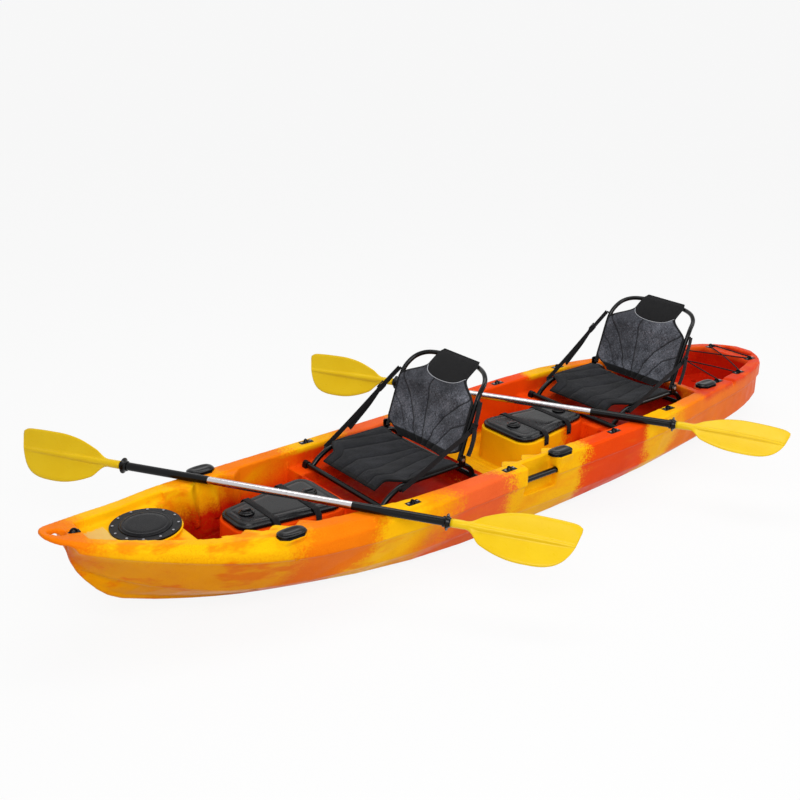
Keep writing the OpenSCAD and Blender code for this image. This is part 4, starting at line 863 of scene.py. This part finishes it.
def leaned(x0, f, y, h):
    """Places from f forward of the backrest's plane, y across it and h up along it from the hinge."""
    c, d = math.cos(LEAN), math.sin(LEAN)
    return np.stack([x0 + f * c - h * d, y + 0 * f, HINGE_Z + f * d + h * c], -1)


def cushion(v):
    """Fullness across a panel, 1 in the middle and 0 at its edges."""
    return 1 - np.abs(v) ** 6


def seam_field(v, t, half, seams, width):
    """Nearness to the sewn lines, 1 on a line; a line that runs slantwise keeps its width."""
    near = np.zeros_like(v)
    fine = np.linspace(0, 1, 201)
    for pts, weight in seams:
        along, across = np.transpose(pts)
        line = np.where(t > along[-1], 9, np.interp(t, along, across))
        slope = np.gradient(np.interp(fine, along, across)) * len(fine) * 0.6
        lean = 1 / np.sqrt(1 + np.interp(t, fine, slope) ** 2)
        near = np.maximum(near, weight * np.exp(-((v - line) * half * lean / width) ** 2))
    return near


def bound_edge(v, half):
    """1 on the binding along both sides of a panel."""
    return ease(np.abs(v) * half, half - BINDING, half - BINDING + 2)


def cover_half(t):
    """Half width of the cover: it widens at the foot and draws in at the shoulders and at the head."""
    return 146 + 91 * ease(t, 0, .15) - 115 * ease(t, .6, .82) - 12 * ease(t, .94, 1)


def cover_surface(x0, v, t, out):
    """Cover at v across and t up: it lies on the tube, sags between its sides and bends back at the head."""
    sag = COVER_SAG * (1 - v * v) * (1 - ease(t, .45, .75))
    bend = COVER_BEND * np.maximum(0, (t - .59) / .41) ** 1.3
    return leaned(x0, COVER_OUT - sag - bend + out, v * cover_half(t), COVER_LENGTH * t + COVER_LOW)


def flap_line(v):
    """Lower edge of the head flap."""
    return 0.71 + 0.1 * v * v


def padded_panel(name, front, back, zone, seam, *rest):
    """Closed panel from its front and back; the back is all trim, without seams."""
    obj = make(name, [np.concatenate([front, back[:, ::-1]], 1)], *rest)
    point_value(obj.data, "zone", np.concatenate([zone, np.ones_like(zone)], 1))
    point_value(obj.data, "seam", np.concatenate([seam, 0 * seam], 1))
    return obj


def seat_cover(seat, x0):
    """Sewn cover with a sunk fan of seams, a black head flap, a bottom band and bound edges."""
    t, v = np.meshgrid(np.linspace(0, 1, 151), np.linspace(-1, 1, 141), indexing="ij")
    half = cover_half(t)
    flap = ease(t, flap_line(v) - 0.006, flap_line(v) + 0.006)
    seam = seam_field(v, t, half, COVER_SEAMS, 3.0) * (1 - flap)
    low_band = 1 - ease(t, 0.075, 0.085)
    rim = np.maximum(bound_edge(v, half), low_band)
    puff = cushion(v) * (1 - 0.25 * flap) * ease(t, 0, 0.06) * (1 - ease(t, 0.96, 1.0))
    ripple = 0.5 * np.sin(v * 21 + 5 * t) * np.sin(t * 17 - 2 * v) * (1 - flap)
    quilt = seam_field(v, t, half, COVER_SEAMS, 13.0) * (1 - flap) * puff
    out = COVER_THICK + COVER_PUFF * puff + ripple - 2.6 * seam - 3.4 * quilt + 0.8 * rim
    out -= 1.2 * np.exp(-((t - 0.09) / 0.008) ** 2)
    front, rear = cover_surface(x0, v, t, out), cover_surface(x0, v, t, 0.0 * v)
    obj = padded_panel(seat + "_back_padding", front, rear, np.maximum(flap, rim), seam,
                       COVER_CLOTH, seat + "_back", "seat_cover", (seat + "_back_cover",))


def cover_trim(seat, x0):
    """Pale piping along the flap's lower edge and a bound edge all round."""
    v = np.linspace(-0.985, 0.985, 90)
    path = cover_surface(x0, v, flap_line(v), COVER_THICK + 5.6 * cushion(v) + 0.4)
    make(seat + "_back_piping", [tube(path, 1.5, 10)], PIPING, seat + "_back", "seat_cover")
    up, over = np.linspace(0.012, 0.985, 120), np.linspace(-0.99, 0.99, 60)
    v = np.concatenate([0 * up - 0.995, over, 0 * up + 0.995, -over])
    t = np.concatenate([up, 0 * over + 0.994, up[::-1], 0 * over + 0.006])
    edge = cover_surface(x0, v, t, 2.4)
    binding = tube(np.vstack([edge, edge[:1]]), 3.1, 10, False)
    make(seat + "_back_binding", [binding], WEB, seat + "_back", "webbing")


def pan_half(t):
    """Half width of the seat cloth: it draws in at the front."""
    return 249 - 73 * ease(t, .72, .88)


def pan_surface(x0, v, t, out):
    """Seat cloth at v across and t forward: it sags between the rails and falls at the front."""
    fall = PAN_FALL * ease(t, .68, 1.12) ** 1.4 * ease(t, .7, .8)
    sag = PAN_SAG * np.maximum(0, 1 - (v / .86) ** 2) * (1 - ease(t, .7, 1))
    return np.stack([x0 + PAN_REAR + PAN_LENGTH * t, v * pan_half(t), PAN_Z - sag - fall + out], -1)


def seat_pan(seat, x0):
    """Slung seat cloth with sewn lines that fan to the front, bound edges and a rolled front."""
    t, v = np.meshgrid(np.linspace(0, 1, 141), np.linspace(-1, 1, 151), indexing="ij")
    half = pan_half(t)
    seam = seam_field(v, t, half, PAN_SEAMS, 2.4)
    rim = np.maximum.reduce([bound_edge(v, half), 1 - ease(t, 0.025, 0.032), ease(t, 0.965, 0.972)])
    puff = cushion(v) * ease(t, 0, 0.08) * (1 - 0.8 * ease(t, 0.93, 1.0))
    ripple = 1.1 * np.sin(v * 17 + 4 * t) * np.sin(t * 15 + 3 * v)
    quilt = seam_field(v, t, half, PAN_SEAMS, 15.0) * puff
    out = PAN_THICK + PAN_PUFF * puff + ripple - 2.8 * seam - 4.0 * quilt + 0.8 * rim
    upper, under = pan_surface(x0, v * 0.996, t, out), pan_surface(x0, v, t, 0.0 * v)
    obj = padded_panel(seat + "_pan_padding", upper, under, rim, seam,
                       PAN_CLOTH, "boat", "seat_mesh", (seat + "_seat_pan",))


# Ends of a seat strap, along and up: on the back's pin and on the rail
SHOULDER = (-math.sin(LEAN) * STRAP_PIN, HINGE_Z + math.cos(LEAN) * STRAP_PIN)
STRAP_FOOT = (320, RAIL_Z - 9)
# Places across the boat of the webbing, its buckle, its loose tail and its stud
STRAP_Y, BUCKLE_Y, TAIL_Y, STUD_Y = 262, 264.5, 268.4, 251
STRAP_STUD = [(9, 0), (9, 7), (8, 8.4), (5, 9), (0.5, 9)]
WEB_WIDE, WEB_THICK = 25, 2.0


def strap_point(p, y, x0):
    """Place on a seat strap's upright plane, from (0, 1) at the shoulder to (1, 0) at the rail."""
    (x, z), (foot_x, foot_z) = SHOULDER, STRAP_FOOT
    return (x0 + x + (foot_x - x) * p[0], y, foot_z + (z - foot_z) * p[1])


TIGHT = [(0, 1), (.24, .76), (.5, .49), (.75, .24), (1, 0)]
SLACK = [(0, 1), (.03, .8), (.08, .62), (.22, .5), (.4, .39), (.69, .19), (1, 0)]


def ladder_lock(place_at, slope, side, x0):
    """Ladder-lock buckle: a frame of two long and three cross bars round the webbing."""
    c = np.array(strap_point(place_at, side * BUCKLE_Y, x0))
    a = math.radians(slope)
    u, w = np.array([math.cos(a), 0, -math.sin(a)]), np.array([math.sin(a), 0, math.cos(a)])
    y = np.array([0, 1.0, 0])
    sets = []
    for k in (-15, 15):
        path = [c + u * s + w * k for s in np.linspace(-18, 18, 9)]
        sets.append(band(path, w, 4.4, 4.8))
    for s in (-16.5, 0, 16.5):
        path = [c + u * s + w * k + y * side * (0.6 if s else 1.4) for k in np.linspace(-16, 16, 9)]
        sets.append(band(path, u, 6.4 if s else 5.0, 4.0))
    return sets


def seat_straps(seat, x0):
    """Adjusting webbing on both sides: tight to starboard, slack to port, with buckles and loose tails."""
    web, locks = [], []
    for side, main, tail, at, slope in (
            (1, SLACK, [(.08, .62), (.085, .5), (.1, .4), (.125, .3), (.16, .2)], (.08, .62), 65),
            (-1, TIGHT, [(.24, .76), (.33, .62), (.42, .49), (.54, .345), (.67, .19)], (.24, .76), 34)):
        for across, route, steps in ((STRAP_Y, main, 12), (TAIL_Y, tail, 10)):
            path = spline([strap_point(p, side * across, x0) for p in route], steps)
            web.append(band(path, (0, 1, 0), WEB_THICK, WEB_WIDE))
        locks += ladder_lock(at, slope, side, x0)
        locks.append(stud(STRAP_STUD, 32, x0 + STRAP_FOOT[0], STUD_Y, STRAP_FOOT[1], side))
    straps = make(seat + "_seat_webbing", web, WEB, None, "webbing", (seat + "_seat_straps",))
    buckles = make(seat + "_seat_ladder_locks", locks, BLACK, None, "black_plastic",
                   (seat + "_seat_buckles",))
    for obj in (straps, buckles):
        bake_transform(obj)


def seat_frame(seat, x0):
    """Bent tubes of the base with its hinge plates, and the backrest's hoop with its strap pins."""
    sets = []
    for side in (-1, 1):
        rail = spline([(x0 + x, side * RAIL_Y, z) for x, z in RAIL], 8)
        sets.append(tube(rail, RAIL_RADIUS, 24))
        plate = [(x0 + u, side * y, PLATE_Z + w) for y in PLATE_Y for u, w in rounded(16, 24, 7, 4)]
        sets.append(np.array(plate).reshape(2, -1, 3))
    for x, half in BARS:
        sets.append(tube([(x0 + x, y, BAR_Z) for y in np.linspace(-half, half, 24)], BAR_RADIUS, 24))
    bevel(make(seat + "_seat_tubes", sets, TUBE, "boat", "seat_tube", (seat + "_seat_base",)), 0.8, 50, 2)
    path = [(0, RAIL_Y - 3, BACK_TAIL)] + [(f, RAIL_Y + s, p * BACK_HEIGHT) for f, s, p in BACK_POINTS]
    path = spline(path + [(f, -y, h) for f, y, h in path[::-1]], 8)
    sets = [tube(leaned(x0, *path.T), BACK_RADIUS, 24)]
    for side in (-1, 1):
        y = np.linspace(*PIN_Y, 6) * side
        pin = leaned(x0, 0 * y, y, 0 * y + STRAP_PIN)
        sets.append(tube(pin, [5.5, 4.2, 4.2, 4.2, 4.2, 5.5], 20))
    make(seat + "_back_tubes", sets, TUBE, seat + "_back", "seat_tube", (seat + "_back_frame",))
    dress(seat + "_seat_feet", BLACK, 2.0)
    dress(seat + "_seat_bolts", STEEL, 0.8)


for seat in ("front", "rear"):
    x0 = JOINTS[seat + "_back_fold"]["pos_m"][0] / UNIT
    seat_frame(seat, x0)
    seat_cover(seat, x0)
    cover_trim(seat, x0)
    seat_pan(seat, x0)
    seat_straps(seat, x0)

# Paddles

BLADE_ROOT, BLADE_LENGTH, BLADE_WIDTH, BLADE_NECK = 726, 424, 188, 15.5
# Half widths of the blade's outline, above and below its rib
UPPER = [(0, .085), (.12, .2), (.33, .38), (.5, .45), (.66, .462), (.88, .455), (.96, .435), (1, .38)]
LOWER = [(0, .085), (.17, .36), (.39, .54), (.6, .575), (.77, .52), (.88, .36), (.96, .06), (1, -.29)]
ARC = np.linspace(0.05, math.pi - 0.05, 31)
ROUND = np.concatenate([ARC, ARC + math.pi])
SLEEVE_PROFILE = [(678.4, 16.4), (690, 16.5), (716, 16.5), (728, 16.3), (731, 15.6)]
BLADE_STATIONS = np.concatenate([np.linspace(0, 0.2, 10)[2:], np.linspace(0.23, 0.86, 26),
                                 np.linspace(0.875, 1, 16)])
# Roll of each paddle's far and near blade
ROLLS = {"front": (62, 42), "rear": (62, 25)}


def round_ring(x, r):
    return np.stack([np.full(len(ROUND), x), r * np.cos(ROUND), r * np.sin(ROUND)], -1)


def blade_ring(t):
    """Section of the spooned blade, with a round rib that thins towards the tip and a rounded edge."""
    x = BLADE_ROOT + BLADE_LENGTH * t
    high, low = BLADE_WIDTH * curve(UPPER, t), -BLADE_WIDTH * curve(LOWER, t)
    wide = min(14.5 - 8.5 * t, 0.3 * (high - low))
    mid = min(max(0.0, low + wide + 1), high - wide - 1)
    over_rib = mid + wide * np.cos(np.linspace(0, math.pi, 11))
    y = np.concatenate([np.linspace(high, mid + wide, 11)[:-1], over_rib,
                        np.linspace(mid - wide, low, 11)[1:]])
    off = np.abs(y - mid) / ((high - low) / 2)
    skin = 2.0 * np.sqrt(np.clip((np.minimum(high - y, y - low) + 0.12) / 3, 0, 1))
    rib = 11 * max(0, 1 - t) ** 0.55 * np.sqrt(np.clip(1 - ((y - mid) / wide) ** 2, 0, 1))
    sweep = -26 * t * t + 7 * math.sin(math.radians(170 * t)) * np.minimum(1, off) ** 2.2
    flat = np.stack([np.full(len(ROUND), x), np.concatenate([y, y[::-1]]),
                     np.concatenate([sweep + skin + rib, (sweep - skin - rib)[::-1]])], -1)
    w = float(ease(t, 0.0, 0.16))
    return round_ring(x, BLADE_NECK) * (1 - w) + flat * w


BLADE_RINGS = np.array([round_ring(x, r) for x, r in SLEEVE_PROFILE]
                       + [blade_ring(t) for t in BLADE_STATIONS])
for name, rolls in ROLLS.items():
    # The near half turns about the shaft, at its middle
    feather = JOINTS[name + "_feather"]
    shaft = Vector(feather["axis"])
    heading, tilt = math.atan2(shaft.y, shaft.x), math.asin(shaft.z)
    spin = Matrix.Rotation(heading, 4, "Z") @ Matrix.Rotation(-tilt, 4, "Y")
    for half, roll, flip in (("far", rolls[0], -1), ("near", rolls[1], 1)):
        mirror = Matrix.Scale(flip, 4, Vector((1, 0, 0)))
        m = np.array(spin @ mirror @ Matrix.Rotation(math.radians(roll), 4, "X"))
        pts = BLADE_RINGS @ m[:3, :3].T + np.array(feather["pos_m"]) / UNIT
        body = name + ("_paddle" if half == "far" else "_paddle_near")
        make(f"{name}_blade_{half}_face", [pts], BLADE, body, "blade_plastic", (f"{name}_blade_{half}",))
        dress(f"{name}_shaft_{half}", ALU)
        dress(f"{name}_grip_{half}", SLEEVE, 0.6)
        dress(f"{name}_ring_{half}", SLEEVE, 0.8)
    dress(name + "_button", STEEL, 0.4)

# Stage: pale floor, soft light, camera at the photograph's place

FLOOR_HALF, FLOOR_Z = 60, -0.002
FLOOR_TONE, FLOOR_GLOW, WORLD_LIGHT = 0.7, 0.9, 0.38
# Camera, as solved from pairs of fittings in the photograph: place, degrees round and down, and lens
CAMERA_AT, CAMERA_YAW, CAMERA_PITCH = (3.0808, 3.4208, 2.2935), -128.11, 21.633
LENS, SENSOR = 51.62, 36.0

floor_mesh = bpy.data.meshes.new("floor")
floor_corners = [(u * FLOOR_HALF, v * FLOOR_HALF, 0) for u, v in ((-1, -1), (1, -1), (1, 1), (-1, 1))]
floor_mesh.from_pydata(floor_corners, [], [(0, 1, 2, 3)])
floor = in_scene("floor", floor_mesh)
floor.location.z = FLOOR_Z


def seen_directly(tree):
    """1 for the rays that see the studio itself, white, and 0 for the light that falls on the object."""
    rays = add_node(tree, "ShaderNodeLightPath").outputs
    value = rays["Is Camera Ray"]
    for kind in ("Is Glossy Ray", "Is Transmission Ray"):
        value = add_node(tree, "ShaderNodeMath", {0: value, 1: rays[kind]}, operation="MAXIMUM").outputs[0]
    return value


# The floor's glow is not complete, so it keeps a faint shadow of the object
pale = Paint("pale_floor", Roughness=0.9, Base_Color=(FLOOR_TONE, FLOOR_TONE, FLOOR_TONE, 1))
glow = pale.node("ShaderNodeEmission", {"Color": (1, 1, 1, 1), "Strength": 1.0}).outputs[0]
part = pale.times(seen_directly(pale.tree), FLOOR_GLOW)
both = pale.node("ShaderNodeMixShader", {0: part, 1: pale.shader.outputs[0], 2: glow}).outputs[0]
pale.tree.links.new(both, pale.tree.nodes["Material Output"].inputs["Surface"])
floor_mesh.materials.append(pale.mat)

world = bpy.data.worlds.new("studio")
bpy.context.scene.world = world
world.use_nodes = True
tree = world.node_tree
back = tree.nodes["Background"].inputs
back["Color"].default_value = (1, 1, 1, 1)
light = {"Value": seen_directly(tree), "To Min": WORLD_LIGHT, "To Max": 1.0}
level = add_node(tree, "ShaderNodeMapRange", light)
tree.links.new(level.outputs[0], back["Strength"])


def lamp(name, at, target, size, power):
    """Softbox that shines from one place to another."""
    data = bpy.data.lights.new(name, "AREA")
    data.shape = "RECTANGLE"
    data.size, data.size_y = size
    data.energy = power
    obj = in_scene(name, data)
    obj.location = at
    obj.rotation_euler = (Vector(target) - Vector(at)).to_track_quat("-Z", "Y").to_euler()


lamp("key_softbox", (2.8, 3.3, 3.3), (0, 0, 0.2), (3.2, 2.4), 150)
lamp("top_softbox", (-0.6, -0.4, 4.4), (-0.2, 0, 0.2), (4.6, 1.6), 90)
lamp("rim_softbox", (-3.6, 2.6, 2.6), (-0.4, 0, 0.3), (2.2, 1.6), 60)

cam_data = bpy.data.cameras.new("camera")
cam_data.lens = LENS
cam_data.sensor_width = SENSOR
camera = in_scene("camera", cam_data)
camera.location = CAMERA_AT
camera.rotation_euler = [math.radians(a) for a in (90 - CAMERA_PITCH, 0, CAMERA_YAW - 90)]
bpy.context.scene.camera = camera
bpy.context.scene.view_settings.view_transform = "Standard"
